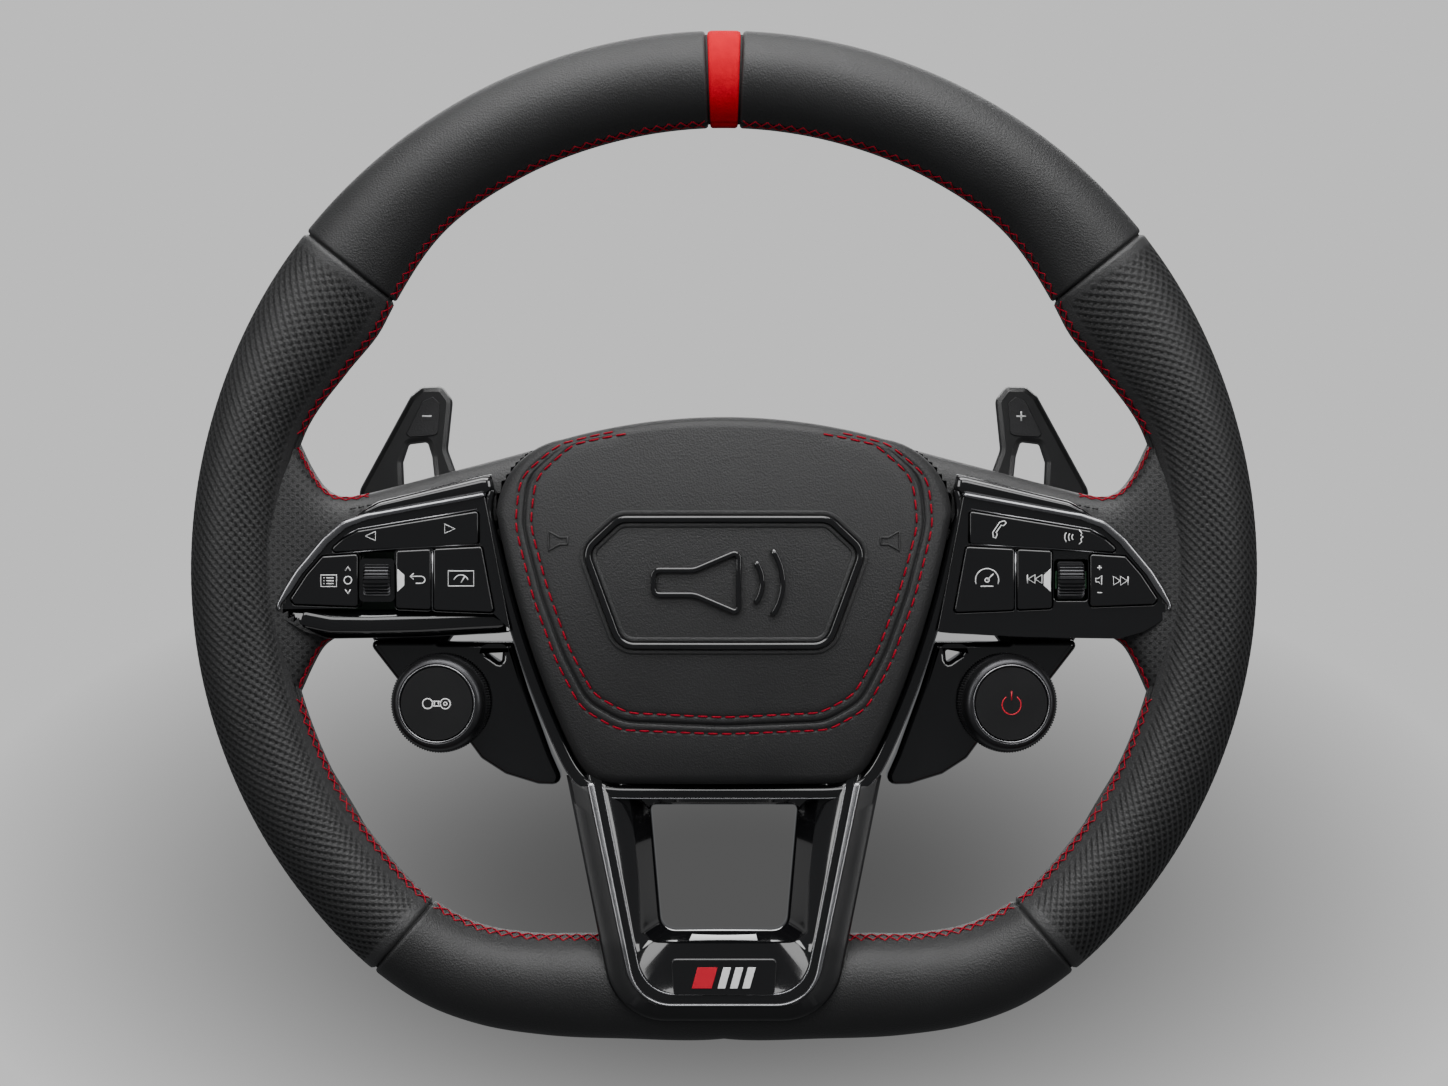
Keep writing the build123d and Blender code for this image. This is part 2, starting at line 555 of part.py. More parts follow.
bezel_strips_sides = []
for name, side in SIDES.items():
    with BuildPart() as spoke_cover:
        slab(flipped(SPOKE, side), 50, SPOKE_FRONT)
        plan_profile(SPOKE_BACK + [(158, 90), (60, 90)], side, -40, 60, mode=Mode.INTERSECT)
        with BuildPart(mode=Mode.PRIVATE) as inside:
            slab(flipped(SPOKE, side), 50, SPOKE_FRONT - SPOKE_WALL, grow=-SPOKE_WALL)
            plan_profile([(x, h + SPOKE_WALL) for x, h in SPOKE_BACK] + [(158, 90), (60, 90)], side, -40, 60,
                         mode=Mode.INTERSECT)
        add(inside.part, mode=Mode.SUBTRACT)
        with Locations((side * 60, -60, 9)):
            Box(6, 60, 50, mode=Mode.SUBTRACT)
        slab(flipped(POD, side), POD_BACK - 0.2, SPOKE_FRONT, grow=0.2, mode=Mode.SUBTRACT)
        side_arm(side, 0.2, Mode.SUBTRACT)
        clear_hub(64.8)
        clear_rim(side)
    save(spoke_cover.part, f"spoke_cover_{name}")

    with BuildPart() as strip:
        slab(flipped(POD, side), POD_FRONT - 0.8, POD_FRONT + 1.0)
        slab(flipped([(x - 1.2, z - 1.6) for x, z in POD[:6]] + [(140, -40), (60, -40), (60, 26)], side),
             POD_FRONT - 0.8, POD_FRONT + 1.0, mode=Mode.SUBTRACT)
        clear_hub(60)
        clear_rim(side)
    bezel_strips_sides.append(strip.part)

    with BuildPart() as switch_bezel:
        slab(flipped(POD, side), POD_BACK, POD_FRONT)
        for points in [ROCKER, *BUTTONS.values()]:
            slab(flipped(points, side), POD_FLOOR, 100, grow=BUTTON_GAP, mode=Mode.SUBTRACT)
        z, reach = ROLLER_CENTRE[0], ROLLER_RADIUS + 0.35
        slab(flipped([(ROLLER_POCKET[0], z - reach), (ROLLER_POCKET[1], z - reach),
                      (ROLLER_POCKET[1], z + reach), (ROLLER_POCKET[0], z + reach)], side), 77, 100, mode=Mode.SUBTRACT)
        add(strip.part, mode=Mode.SUBTRACT)
        clear_hub(60)
        clear_rim(side)
    save(switch_bezel.part, f"switch_bezel_{name}")

    with BuildPart() as rocker:
        slab(flipped(ROCKER, side), BUTTON_BACK, BUTTON_FRONT)
    save(rocker.part, f"rocker_{name}")

    for place, points in BUTTONS.items():
        with BuildPart() as button:
            slab(flipped(points, side), BUTTON_BACK, BUTTON_FRONT)
            fillet(button.edges().group_by(Axis.Y)[0], radius=0.6)
        save(button.part, f"button_{place}_{name}")

    with BuildPart() as roller:
        x0 = ROLLER_X[0] if side > 0 else -ROLLER_X[1]
        length = ROLLER_X[1] - ROLLER_X[0]
        with BuildSketch(Plane.YZ.offset(x0)):
            with Locations((-ROLLER_CENTRE[1], ROLLER_CENTRE[0])):
                Circle(ROLLER_RADIUS - 0.5)
                with PolarLocations(ROLLER_RADIUS - 0.6, 28):
                    Rectangle(1.2, 0.75)
        extrude(amount=length)
        with BuildSketch(Plane.YZ.offset(x0 - 0.6)):
            with Locations((-ROLLER_CENTRE[1], ROLLER_CENTRE[0])):
                Circle(1.2)
        extrude(amount=length + 1.2)
    save(roller.part, f"roller_{name}")

with BuildPart() as bezel_strips:
    add(bezel_strips_sides)
save(bezel_strips.part, "bezel_strips")

with BuildPart() as switch_boards:
    for side in SIDES.values():
        slab(flipped([(84, 16), (122, 10), (130, 4), (140, -8), (140, -18), (84, -18)], side), POD_BACK - 1.6, POD_BACK)
        for x0 in (ROLLER_POCKET[0] + 0.15, ROLLER_X[1] + 0.2):
            z, h = ROLLER_CENTRE
            slab(flipped([(x0, z - 3), (x0 + 0.55, z - 3), (x0 + 0.55, z + 3), (x0, z + 3)], side), POD_BACK, h + 2.4)
    with BuildSketch(Plane.YZ.offset(-150)):
        with Locations((-ROLLER_CENTRE[1], ROLLER_CENTRE[0])):
            Circle(1.25)
    extrude(amount=300, mode=Mode.SUBTRACT)
save(switch_boards.part, "switch_boards")

# ---------------------------------------------------------------- shift paddles

for name, side in SIDES.items():
    with BuildPart() as paddle:
        slab(flipped(PADDLE, side), PADDLE_BACK, PADDLE_FRONT)
        slab(flipped(PADDLE_SLOT, side), PADDLE_BACK, PADDLE_FRONT, radius=1.5, mode=Mode.SUBTRACT)
        with Locations((side * HINGE_X, -HINGE_H, 0)):
            Cylinder(HINGE_BARREL, 27.6)
            Cylinder(HINGE_PIN + 0.05, 30, mode=Mode.SUBTRACT)
    save(paddle.part, f"paddle_{name}")

with BuildPart() as paddle_pins:
    with Locations((-HINGE_X, -HINGE_H, 0), (HINGE_X, -HINGE_H, 0)):
        Cylinder(HINGE_PIN, 37)
save(paddle_pins.part, "paddle_pins")

with BuildPart() as paddle_brackets:
    for side in SIDES.values():
        for z in (-18.2, 14.2):
            ear = [(38, 42), (46, 42), (50, 45.5), (65, 45.5), (65, 54), (55, 54), (38, 46)]
            plan_profile(ear, side, z, z + 4)
    with Locations((-HINGE_X, -HINGE_H, 0), (HINGE_X, -HINGE_H, 0)):
        Cylinder(HINGE_PIN, 60, mode=Mode.SUBTRACT)
save(paddle_brackets.part, "paddle_brackets")

with BuildPart() as paddle_switches:
    for side in SIDES.values():
        slab(flipped([(69, -3), (75, -3), (75, 3), (69, 3)], side), 54.0, 56.0)
save(paddle_switches.part, "paddle_switches")

# ---------------------------------------------------------------- satellite knobs

for name, side in SIDES.items():
    with BuildPart() as satellite:
        slab(flipped(SATELLITE, side), 62, 77.8)
        disc(15.5, 62, 77.5, [(side * KNOB_CENTRE[0], KNOB_CENTRE[1])])
        knob_disc(side, 15.5, -6, 0)
        slab(flipped(SATELLITE_WINDOW, side), 60, 80, mode=Mode.SUBTRACT)
        knob_disc(side, 30, 0, 20, Mode.SUBTRACT)
        knob_disc(side, KNOB_BORE - 0.05, -1, 2.2)
        clear_hub(60)
    save(satellite.part, f"satellite_{name}")

    with BuildPart() as knob_ring:
        with BuildSketch(knob_plane(side, 0.4)):
            Circle(KNOB_RADIUS)
            with PolarLocations(KNOB_RADIUS, 56):
                Rectangle(1.2, 1.0)
        extrude(amount=6.0)
        with BuildSketch(knob_plane(side, 6.4)):
            Circle(KNOB_RADIUS)
        with BuildSketch(knob_plane(side, 10.4)):
            Circle(15.4)
        loft()
        knob_disc(side, KNOB_BORE, 0, 20, Mode.SUBTRACT)
    save(knob_ring.part, f"knob_ring_{name}")

    with BuildPart() as knob_cap:
        knob_disc(side, CAP_RADIUS, 4.1, 11.4)
    save(knob_cap.part, f"knob_cap_{name}")
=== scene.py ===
"""The looks of the sports steering wheel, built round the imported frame."""

import math

import bmesh
import bpy
import numpy as np
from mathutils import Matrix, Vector


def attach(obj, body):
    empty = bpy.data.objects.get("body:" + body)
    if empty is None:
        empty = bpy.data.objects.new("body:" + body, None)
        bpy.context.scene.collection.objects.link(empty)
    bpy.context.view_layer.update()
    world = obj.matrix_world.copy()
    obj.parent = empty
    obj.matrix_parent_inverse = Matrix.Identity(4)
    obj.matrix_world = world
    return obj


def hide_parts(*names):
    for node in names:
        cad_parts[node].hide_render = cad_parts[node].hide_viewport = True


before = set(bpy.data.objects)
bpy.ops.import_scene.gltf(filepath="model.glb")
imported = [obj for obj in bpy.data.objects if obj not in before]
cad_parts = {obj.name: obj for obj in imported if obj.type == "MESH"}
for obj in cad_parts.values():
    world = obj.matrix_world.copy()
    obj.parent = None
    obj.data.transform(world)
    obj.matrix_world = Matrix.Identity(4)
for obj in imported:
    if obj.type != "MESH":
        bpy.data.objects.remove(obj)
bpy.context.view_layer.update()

SIDES = {"left": -1, "right": 1}
MM = 0.001


# -------- materials

ROUGHNESS_SPREAD, COAT_ROUGHNESS, GRAIN_DEPTH = 0.12, 0.03, 0.0003
# painted shade: near-black colours laid into the leather's holes, onto the slopes round the rim's holes and into the
# groove of the rim's seam
PAINTED_HOLE_SHADE, PAINTED_GRIP_SHADE, PAINTED_SEAM_SHADE = (0.001,) * 3, (0.0005,) * 3, (0.004,) * 3


def new_node(m, kind, **values):
    """A shader node with some of its inputs set. Spaces in their names are written as underscores."""
    node = m.node_tree.nodes.new(f"ShaderNode{kind}")
    for key, value in values.items():
        node.inputs[key.replace("_", " ")].default_value = value
    return node


def material(name, colour, rough=0.5, metal=0.0, coat=0.0, grain=0.0, grain_scale=900.0, mottle=0.0,
             mottle_scale=40.0, cells=False, specular=0.5):
    """A principled material with a little procedural variation in colour, roughness and relief."""
    m = bpy.data.materials.new(name)
    m.use_nodes = True
    links, shader = m.node_tree.links, m.node_tree.nodes["Principled BSDF"]
    for key, value in (("Metallic", metal), ("Coat Weight", coat), ("Coat Roughness", COAT_ROUGHNESS),
                       ("Specular IOR Level", specular)):
        shader.inputs[key].default_value = value
    where = new_node(m, "TexCoord").outputs["Object"]
    blotch = new_node(m, "TexNoise", Scale=mottle_scale, Detail=4)
    tone = new_node(m, "MixRGB", Color1=(*[c * (1 - mottle) for c in colour], 1),
                    Color2=(*[min(1, c * (1 + mottle)) for c in colour], 1))
    spread = new_node(m, "MapRange", To_Min=rough * (1 - ROUGHNESS_SPREAD), To_Max=rough * (1 + ROUGHNESS_SPREAD))
    links.new(where, blotch.inputs["Vector"])
    links.new(blotch.outputs["Fac"], tone.inputs["Fac"])
    links.new(tone.outputs["Color"], shader.inputs["Base Color"])
    links.new(blotch.outputs["Fac"], spread.inputs["Value"])
    links.new(spread.outputs["Result"], shader.inputs["Roughness"])
    if grain:
        fine = new_node(m, "TexVoronoi" if cells else "TexNoise", Scale=grain_scale)
        bump = new_node(m, "Bump", Strength=grain, Distance=GRAIN_DEPTH)
        links.new(where, fine.inputs["Vector"])
        links.new(fine.outputs["Distance" if cells else "Fac"], bump.inputs["Height"])
        links.new(bump.outputs["Normal"], shader.inputs["Normal"])
    return m


def tinted(m, share, colour):
    """The material, with its base colour turned to another one by a share from 0 to 1."""
    links, base = m.node_tree.links, m.node_tree.nodes["Principled BSDF"].inputs["Base Color"]
    mix = new_node(m, "MixRGB", Color2=(*colour, 1))
    links.new(share, mix.inputs["Fac"])
    links.new(base.links[0].from_socket, mix.inputs["Color1"])
    links.new(mix.outputs["Color"], base)
    return m


def darkened(m, attribute, colour):
    """The material, turning to a colour where a mesh attribute says so."""
    mask = new_node(m, "Attribute")
    mask.attribute_name = attribute
    return tinted(m, mask.outputs["Fac"], colour)


def perforated(m, spacing, radius, start, end):
    """Adds holes painted in a diamond pattern, dark dots of painted shade seen from the front, that fade in between two
    distances from the middle.
    """
    nodes, links = m.node_tree.nodes, m.node_tree.links

    def maths(kind, *inputs, vector=False):
        node = nodes.new("ShaderNodeVectorMath" if vector else "ShaderNodeMath")
        node.operation = kind
        for k, value in enumerate(inputs):
            if isinstance(value, bpy.types.NodeSocket):
                links.new(value, node.inputs[k])
            else:
                node.inputs[k].default_value = value
        return node.outputs["Value" if not vector or kind == "LENGTH" else "Vector"]

    where, split = new_node(m, "TexCoord").outputs["Object"], new_node(m, "SeparateXYZ")
    diagonal = new_node(m, "Mapping", Rotation=(0, math.radians(45), 0), Scale=(1 / spacing,) * 3)
    links.new(where, diagonal.inputs["Vector"])
    cell = maths("SUBTRACT", maths("FRACTION", diagonal.outputs["Vector"], vector=True), (0.5,) * 3, vector=True)
    gap = maths("LENGTH", maths("MULTIPLY", cell, (1, 0, 1), vector=True), vector=True)
    links.new(where, split.inputs["Vector"])
    hole = maths("LESS_THAN", gap, radius / spacing)
    beyond = maths("DIVIDE", maths("SUBTRACT", maths("ABSOLUTE", split.outputs["X"]), start), end - start)
    share = maths("MULTIPLY", hole, maths("MINIMUM", maths("MAXIMUM", beyond, 0.0), 1.0))
    return tinted(m, share, PAINTED_HOLE_SHADE)


LEATHER = dict(rough=0.52, grain=0.35, grain_scale=1500, mottle=0.18, mottle_scale=60, cells=True)
# the rim leather is darkened with painted shade in the seam's groove and, on the grips, in the holes and round them
smooth_leather = darkened(material("smooth_leather", (0.0145, 0.0145, 0.0149), **LEATHER), "painted_shade", PAINTED_SEAM_SHADE)
grip_leather = darkened(material("grip_leather", (0.027, 0.027, 0.0275), **LEATHER), "painted_shade", PAINTED_GRIP_SHADE)
# the spoke leather's perforations are only painted: dark dots of painted shade with no depth
spoke_leather = perforated(material("spoke_leather", (0.020, 0.020, 0.0205), **LEATHER), spacing=0.00226,
                           radius=0.0006, start=0.129, end=0.134)
pad_leather = material("pad_leather", (0.019, 0.019, 0.0195), **{**LEATHER, "rough": 0.56})
red_leather = material("red_leather", (0.56, 0.0, 0.014), rough=0.75, grain=0.5, grain_scale=1100, mottle=0.15,
                       mottle_scale=300, specular=0.05)
thread = material("red_thread", (0.30, 0.0, 0.014), rough=0.7, grain=0.6, grain_scale=2500, mottle=0.25,
                  mottle_scale=900, specular=0.15)
gloss = material("gloss_black", (0.004, 0.004, 0.0045), rough=0.09, coat=1.0, mottle=0.1, mottle_scale=20)
soft_gloss = material("satin_black", (0.006, 0.006, 0.0065), rough=0.36, mottle=0.15, mottle_scale=60, grain=0.08,
                      grain_scale=2500)
matte = material("matte_black", (0.014, 0.014, 0.015), rough=0.6, grain=0.3, grain_scale=1800, mottle=0.2,
                 mottle_scale=80)
satin = material("satin_metal", (0.30, 0.30, 0.31), rough=0.24, metal=1.0, mottle=0.08, mottle_scale=120)
dark_metal = material("dark_metal", (0.055, 0.055, 0.058), rough=0.36, metal=0.9, mottle=0.12, mottle_scale=150)
steel = material("steel", (0.42, 0.42, 0.43), rough=0.32, metal=1.0, mottle=0.12, mottle_scale=200, grain=0.1,
                 grain_scale=600)
cast = material("cast_metal", (0.36, 0.37, 0.38), rough=0.55, metal=0.8, mottle=0.2, mottle_scale=70, grain=0.5,
                grain_scale=900)
foam_look = material("foam", (0.018, 0.018, 0.018), rough=0.85, grain=0.4, grain_scale=1200, mottle=0.2)
cloth = material("airbag_fabric", (0.62, 0.61, 0.58), rough=0.8, grain=0.5, grain_scale=1400, mottle=0.1)
board = material("circuit_board", (0.012, 0.055, 0.022), rough=0.4, mottle=0.3, mottle_scale=300)
white_ink = material("white_ink", (0.80, 0.80, 0.80), rough=0.5, mottle=0.04, mottle_scale=300)
paddle_black = material("paddle_black", (0.008, 0.008, 0.0085), rough=0.33, mottle=0.15, mottle_scale=60,
                        grain=0.1, grain_scale=2500, specular=0.8)
red_ink = material("red_ink", (0.55, 0.0, 0.02), rough=0.5, mottle=0.05, mottle_scale=300)

CAD_LOOKS = {
    cast: ["armature", "paddle_brackets"],
    foam_look: ["rim_foam"],
    matte: ["back_cover", "lower_spoke_back", "airbag_housing", "paddle_switches"],
    steel: ["back_cover_screws", "qr_screws", "qr_retaining_ring", "qr_spring", "inflator", "module_nuts",
            "horn_guide_pins", "horn_springs", "paddle_pins", "qr_ball_1", "qr_ball_2", "qr_ball_3", "qr_body"],
    dark_metal: ["qr_collar"],
    cloth: ["airbag_cushion"],
    board: ["switch_boards"],
}
for look, names in CAD_LOOKS.items():
    for node in names:
        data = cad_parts[node].data
        data.materials.clear()
        data.materials.append(look)


# -------- shapes


def circle(steps):
    """Evenly spaced angles round a circle."""
    return np.arange(steps) * 2 * math.pi / steps


def raised(line, height):
    """Front-view points (x, z) at a height, or at one height each, as points (x, h, z)."""
    line = np.asarray(line, float)
    return np.stack([line[:, 0], np.broadcast_to(height, len(line)), line[:, 1]], 1)


def lengths(line):
    """The distance along a line at each of its points."""
    return np.concatenate([[0], np.cumsum(np.linalg.norm(np.diff(line, axis=0), axis=1))])


def smoothed(line, times):
    """A closed run of values or points, averaged with its neighbours a number of times."""
    for _ in range(times):
        line = 0.5 * line + 0.25 * (np.roll(line, 1, 0) + np.roll(line, -1, 0))
    return line


def reach_at(angles, line, centre):
    """How far a closed line is from a centre in each direction."""
    p = line - centre
    return np.interp(angles, np.arctan2(p[:, 1], p[:, 0]), np.hypot(p[:, 0], p[:, 1]), period=2 * math.pi)


def linked(name, data):
    """A new object in the scene."""
    obj = bpy.data.objects.new(name, data)
    bpy.context.scene.collection.objects.link(obj)
    return obj


def finish_mesh(name, points, faces, look, body, sharp=180.0, nodes=(), attribute=None):
    """A mesh object from points in millimetres (x, h, z), riding a body and standing for CAD nodes."""
    co = np.asarray(points, float).reshape(-1, 3)
    co = np.stack([co[:, 0], -co[:, 1], co[:, 2]], 1) * MM
    data = bpy.data.meshes.new(name)
    data.from_pydata(co.tolist(), [], [tuple(int(i) for i in f) for f in faces])
    if attribute:
        layer = data.attributes.new(attribute[0], "FLOAT", "POINT")
        layer.data.foreach_set("value", np.asarray(attribute[1], np.float32).ravel())
    edit = bmesh.new()
    edit.from_mesh(data)
    bmesh.ops.recalc_face_normals(edit, faces=edit.faces)
    edit.to_mesh(data)
    edit.free()
    return place(name, data, look, body, sharp, nodes)


def place(name, data, look, body, sharp=180.0, nodes=()):
    """Puts a finished mesh in the scene."""
    data.materials.clear()
    data.materials.append(look)
    data.polygons.foreach_set("use_smooth", [True] * len(data.polygons))
    if sharp < 180:
        data.set_sharp_from_angle(angle=math.radians(sharp))
    obj = linked(name, data)
    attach(obj, body)
    if nodes:
        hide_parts(*nodes)
    return obj


def grid_faces(rows, columns, wrap_rows=False, wrap_columns=False):
    """Quads over a grid of points stored row by row."""
    r = np.arange(rows if wrap_rows else rows - 1)
    c = np.arange(columns if wrap_columns else columns - 1)
    i, j = np.meshgrid(r, c, indexing="ij")
    i2, j2 = (i + 1) % rows, (j + 1) % columns
    return np.stack([i * columns + j, i * columns + j2, i2 * columns + j2, i2 * columns + j], -1).reshape(-1, 4)


def flip(points, side):
    """Points (x, z) as they are when side is 1, and mirrored when it is -1."""
    return [(side * x, z) for x, z in points]


def rounded(points, radius, steps=5):
    """A closed outline with its corners turned into arcs."""
    out, count = [], len(points)
    radii = radius if isinstance(radius, (list, tuple)) else [radius] * count
    for k in range(count):
        p, a, b = (Vector(points[(k + d) % count]) for d in (0, -1, 1))
        u, v = (a - p), (b - p)
        r = radii[k]
        turn = math.acos(max(-1, min(1, u.normalized().dot(v.normalized()))))
        if r <= 0 or turn > math.radians(175):
            out.append(tuple(p))
            continue
        cut = min(r / math.tan(turn / 2), 0.48 * u.length, 0.48 * v.length)
        r = cut * math.tan(turn / 2)
        centre = p + (u.normalized() + v.normalized()).normalized() * (r / math.sin(turn / 2))
        begin, end = p + u.normalized() * cut - centre, p + v.normalized() * cut - centre
        first = math.atan2(begin.y, begin.x)
        swing = (math.atan2(end.y, end.x) - first + math.pi) % (2 * math.pi) - math.pi
        for s in range(steps + 1):
            a = first + swing * s / steps
            out.append((centre.x + r * math.cos(a), centre.y + r * math.sin(a)))
    return out


def offset_line(points, amount):
    """A closed line moved outwards by an amount."""
    p = np.array(points, float)
    area = np.sum(p[:, 0] * np.roll(p[:, 1], -1) - np.roll(p[:, 0], -1) * p[:, 1])
    d = np.roll(p, -1, 0) - np.roll(p, 1, 0)
    normal = np.stack([d[:, 1], -d[:, 0]], 1) / np.maximum(np.linalg.norm(d, axis=1, keepdims=True), 1e-9)
    return p + normal * amount * (1 if area > 0 else -1)


def arc(a, b, c, steps=24):
    """Points on the arc from a through b to c."""
    (ax, ay), (bx, by), (cx, cy) = a, b, c
    d = 2 * (ax * (by - cy) + bx * (cy - ay) + cx * (ay - by))
    ux = ((ax**2 + ay**2) * (by - cy) + (bx**2 + by**2) * (cy - ay) + (cx**2 + cy**2) * (ay - by)) / d
    uy = ((ax**2 + ay**2) * (cx - bx) + (bx**2 + by**2) * (ax - cx) + (cx**2 + cy**2) * (bx - ax)) / d
    angles = np.unwrap([math.atan2(y - uy, x - ux) for x, y in (a, b, c)])
    r = math.hypot(ax - ux, ay - uy)
    return [(ux + r * math.cos(t), uy + r * math.sin(t)) for t in np.linspace(angles[0], angles[2], steps)]


def spline(xs, ys, x):
    """A smooth curve through points, read at x."""
    xs, ys, x = np.asarray(xs, float), np.asarray(ys, float), np.asarray(x, float)
    slope = np.gradient(ys, xs)
    k = np.clip(np.searchsorted(xs, x) - 1, 0, len(xs) - 2)
    h = xs[k + 1] - xs[k]
    t = np.clip((x - xs[k]) / h, 0, 1)
    return ((2 * t**3 - 3 * t**2 + 1) * ys[k] + (t**3 - 2 * t**2 + t) * h * slope[k]
            + (3 * t**2 - 2 * t**3) * ys[k + 1] + (t**3 - t**2) * h * slope[k + 1])


def plate(name, outlines, back, front, look, body, bevel=0.5, steps=3, nodes=(), sharp=38.0):
    """A flat piece seen from the front: the first outline less the others, with rounded edges."""
    curve = bpy.data.curves.new(name, "CURVE")
    curve.dimensions, curve.fill_mode = "2D", "BOTH"
    for points in outlines:
        line = curve.splines.new("POLY")
        line.points.add(len(points) - 1)
        for k, (x, z) in enumerate(points):
            line.points[k].co = (x, z, 0, 1)
        line.use_cyclic_u = True
    curve.extrude = (front - back) / 2 - bevel
    curve.bevel_depth, curve.bevel_resolution, curve.offset = bevel, steps, -bevel
    holder = linked(name + "_curve", curve)
    bpy.context.view_layer.update()
    data = bpy.data.meshes.new_from_object(holder.evaluated_get(bpy.context.evaluated_depsgraph_get()))
    bpy.data.objects.remove(holder)
    data.name = name
    co = np.array([v.co for v in data.vertices])
    co = raised(co[:, :2], -co[:, 2] - (front + back) / 2) * MM
    data.vertices.foreach_set("co", co.ravel())
    data.update()
    return place(name, data, look, body, sharp, nodes)


def sweep(points, section, closed=False):
    """Points and faces of a section (across, forwards) carried along points (x, h, z)."""
    p = np.array(points, float)
    d = np.roll(p, -1, 0) - np.roll(p, 1, 0) if closed else np.gradient(p, axis=0)
    d /= np.maximum(np.linalg.norm(d, axis=1, keepdims=True), 1e-9)
    n = np.tile(np.array((0, 1.0, 0)), (len(p), 1))
    n -= np.sum(n * d, 1, keepdims=True) * d
    n /= np.maximum(np.linalg.norm(n, axis=1, keepdims=True), 1e-9)
    b = np.cross(d, n)
    s = np.array(section, float)
    if s.ndim == 2:
        s = np.tile(s, (len(p), 1, 1))
    ring = p[:, None] + b[:, None] * s[..., :1] + n[:, None] * s[..., 1:]
    faces = grid_faces(len(p), s.shape[1], wrap_rows=closed, wrap_columns=True).tolist()
    if not closed:
        faces += [list(range(s.shape[1]))[::-1], [(len(p) - 1) * s.shape[1] + k for k in range(s.shape[1])]]
    return ring.reshape(-1, 3), faces


def oval(a, b, sides=8):
    """A round or oval section."""
    t = circle(sides)
    return np.stack([a * np.cos(t), b * np.sin(t)], 1)


def pillow(width, height, sides=16, power=3.5):
    """A rounded box section."""
    c, s = np.cos(circle(sides)), np.sin(circle(sides))
    return np.stack([width / 2 * np.sign(c) * np.abs(c) ** (2 / power),
                     height / 2 * np.sign(s) * np.abs(s) ** (2 / power)], 1)


def dense(points, closed=True, gap=1.0):
    """A line with points at most a gap apart."""
    p = np.array(list(points) + ([points[0]] if closed else []), float)
    out = []
    for a, b in zip(p, p[1:]):
        k = max(1, int(np.linalg.norm(b - a) / gap))
        out += [a + (b - a) * i / k for i in range(k)]
    return np.array(out if closed else out + [p[-1]])


class Bundle:
    """Several swept or gridded pieces gathered into one mesh."""

    def __init__(self):
        self.points, self.faces, self.count = [], [], 0

    def add(self, points, faces):
        self.points.append(np.asarray(points, float).reshape(-1, 3))
        self.faces += [[i + self.count for i in f] for f in faces]
        self.count += len(self.points[-1])
        return self

    def tube(self, points, radius, closed=False, sides=8, flat=1.0):
        return self.add(*sweep(points, oval(radius, radius * flat, sides), closed))

    def build(self, name, look, body, sharp=180.0, nodes=()):
        return finish_mesh(name, np.concatenate(self.points), self.faces, look, body, sharp, nodes)


def carried(name, path, section, look, body="wheel", closed=False, nodes=()):
    """A piece made by carrying a section along a path."""
    return Bundle().add(*sweep(path, section, closed)).build(name, look, body, nodes=nodes)


def turned(name, profile, axis, look, body, steps=72, ripples=(), ripple=0.0, nodes=()):
    """A piece made by turning a profile of (radius, height) about an axis, with ripples in some of its rows."""
    t = circle(steps)
    rows = []
    for k, (r, h) in enumerate(profile):
        radius = r + (ripple * (np.arange(steps) % 2) if k in ripples else 0)
        rows.append(axis(radius * np.cos(t), radius * np.sin(t), h))
    faces = grid_faces(len(profile), steps, wrap_columns=True).tolist()
    return finish_mesh(name, np.concatenate(rows), faces, look, body, 35, nodes)


def ink(name, strokes, look, body, surface, width=0.2, flat=0.3):
    """Thin printed lines. The surface turns (x, z) into points (x, h, z)."""
    lines = Bundle()
    for stroke in strokes:
        closed = len(stroke) > 2 and stroke[0] == stroke[-1]
        p = np.array(stroke[:-1] if closed else stroke, float)
        lines.tube(surface(p), width, closed=closed, sides=6, flat=flat)
    return lines.build(name, look, body)


# -------- rim

STATIONS = {-90: (128.0, 164.4), -78: (130.8, 168.0), -69: (137.0, 174.6), -62: (144.5, 180.5), -56: (150.4, 184.2),
            -49.2: (153.7, 185.6), -38: (153.9, 185.6), -22: (153.2, 185.3), -8: (152.8, 185.0), 6: (152.6, 184.6),
            18: (152.0, 184.5), 27: (146.6, 184.8), 34: (144.0, 185.0), 38.5: (145.7, 185.0), 50: (150.8, 185.0),
            62: (151.5, 185.0), 76: (151.4, 185.0), 90: (151.4, 185.0)}
RIM_PLANE, RIM_HALF = 80.0, 17.0
RIM_RADIUS, SEAM_RADIUS, SKIN_RADIUS = 168, 150, 16.6
SEAM = math.radians(162)
HOLE_GAP, HOLES_ROUND, HOLE_DEPTH, DIMPLE_DEPTH = 3.2, 32, 1.0, 0.16
STEP_ROUND = 0.81


def rim(turn, around, lift=0.0):
    """A point of the rim's skin. turn goes round the wheel in degrees, around goes round the section in radians."""
    turn, around = np.broadcast_arrays(np.asarray(turn, float), np.asarray(around, float))
    fold = np.degrees(np.arcsin(np.clip(np.sin(np.radians(turn)), -1, 1)))
    keys = list(STATIONS)
    inner = spline(keys, [v[0] for v in STATIONS.values()], fold)
    outer = spline(keys, [v[1] for v in STATIONS.values()], fold)
    a, r0 = (outer - inner) / 2, (outer + inner) / 2
    out = r0 + (a + lift) * np.cos(around)
    h = RIM_PLANE + (RIM_HALF + lift) * np.sin(around)
    return np.stack([out * np.cos(np.radians(turn)), h, out * np.sin(np.radians(turn))], -1)


def ends_round(distance, edge=1.4, depth=1.0):
    """How far the skin drops near a panel's end."""
    t = np.clip(1 - distance / edge, 0, 1)
    return -depth * (1 - np.sqrt(np.maximum(0, 1 - t**2)))


def seam_dip(around):
    """How far the skin drops in the sewn seam on the inside of the rim."""
    along = (around - SEAM) * SKIN_RADIUS
    return -0.8 * np.exp(-((along / 0.7) ** 2)) + 0.18 * np.exp(-(((np.abs(along) - 2.0) / 1.1) ** 2))


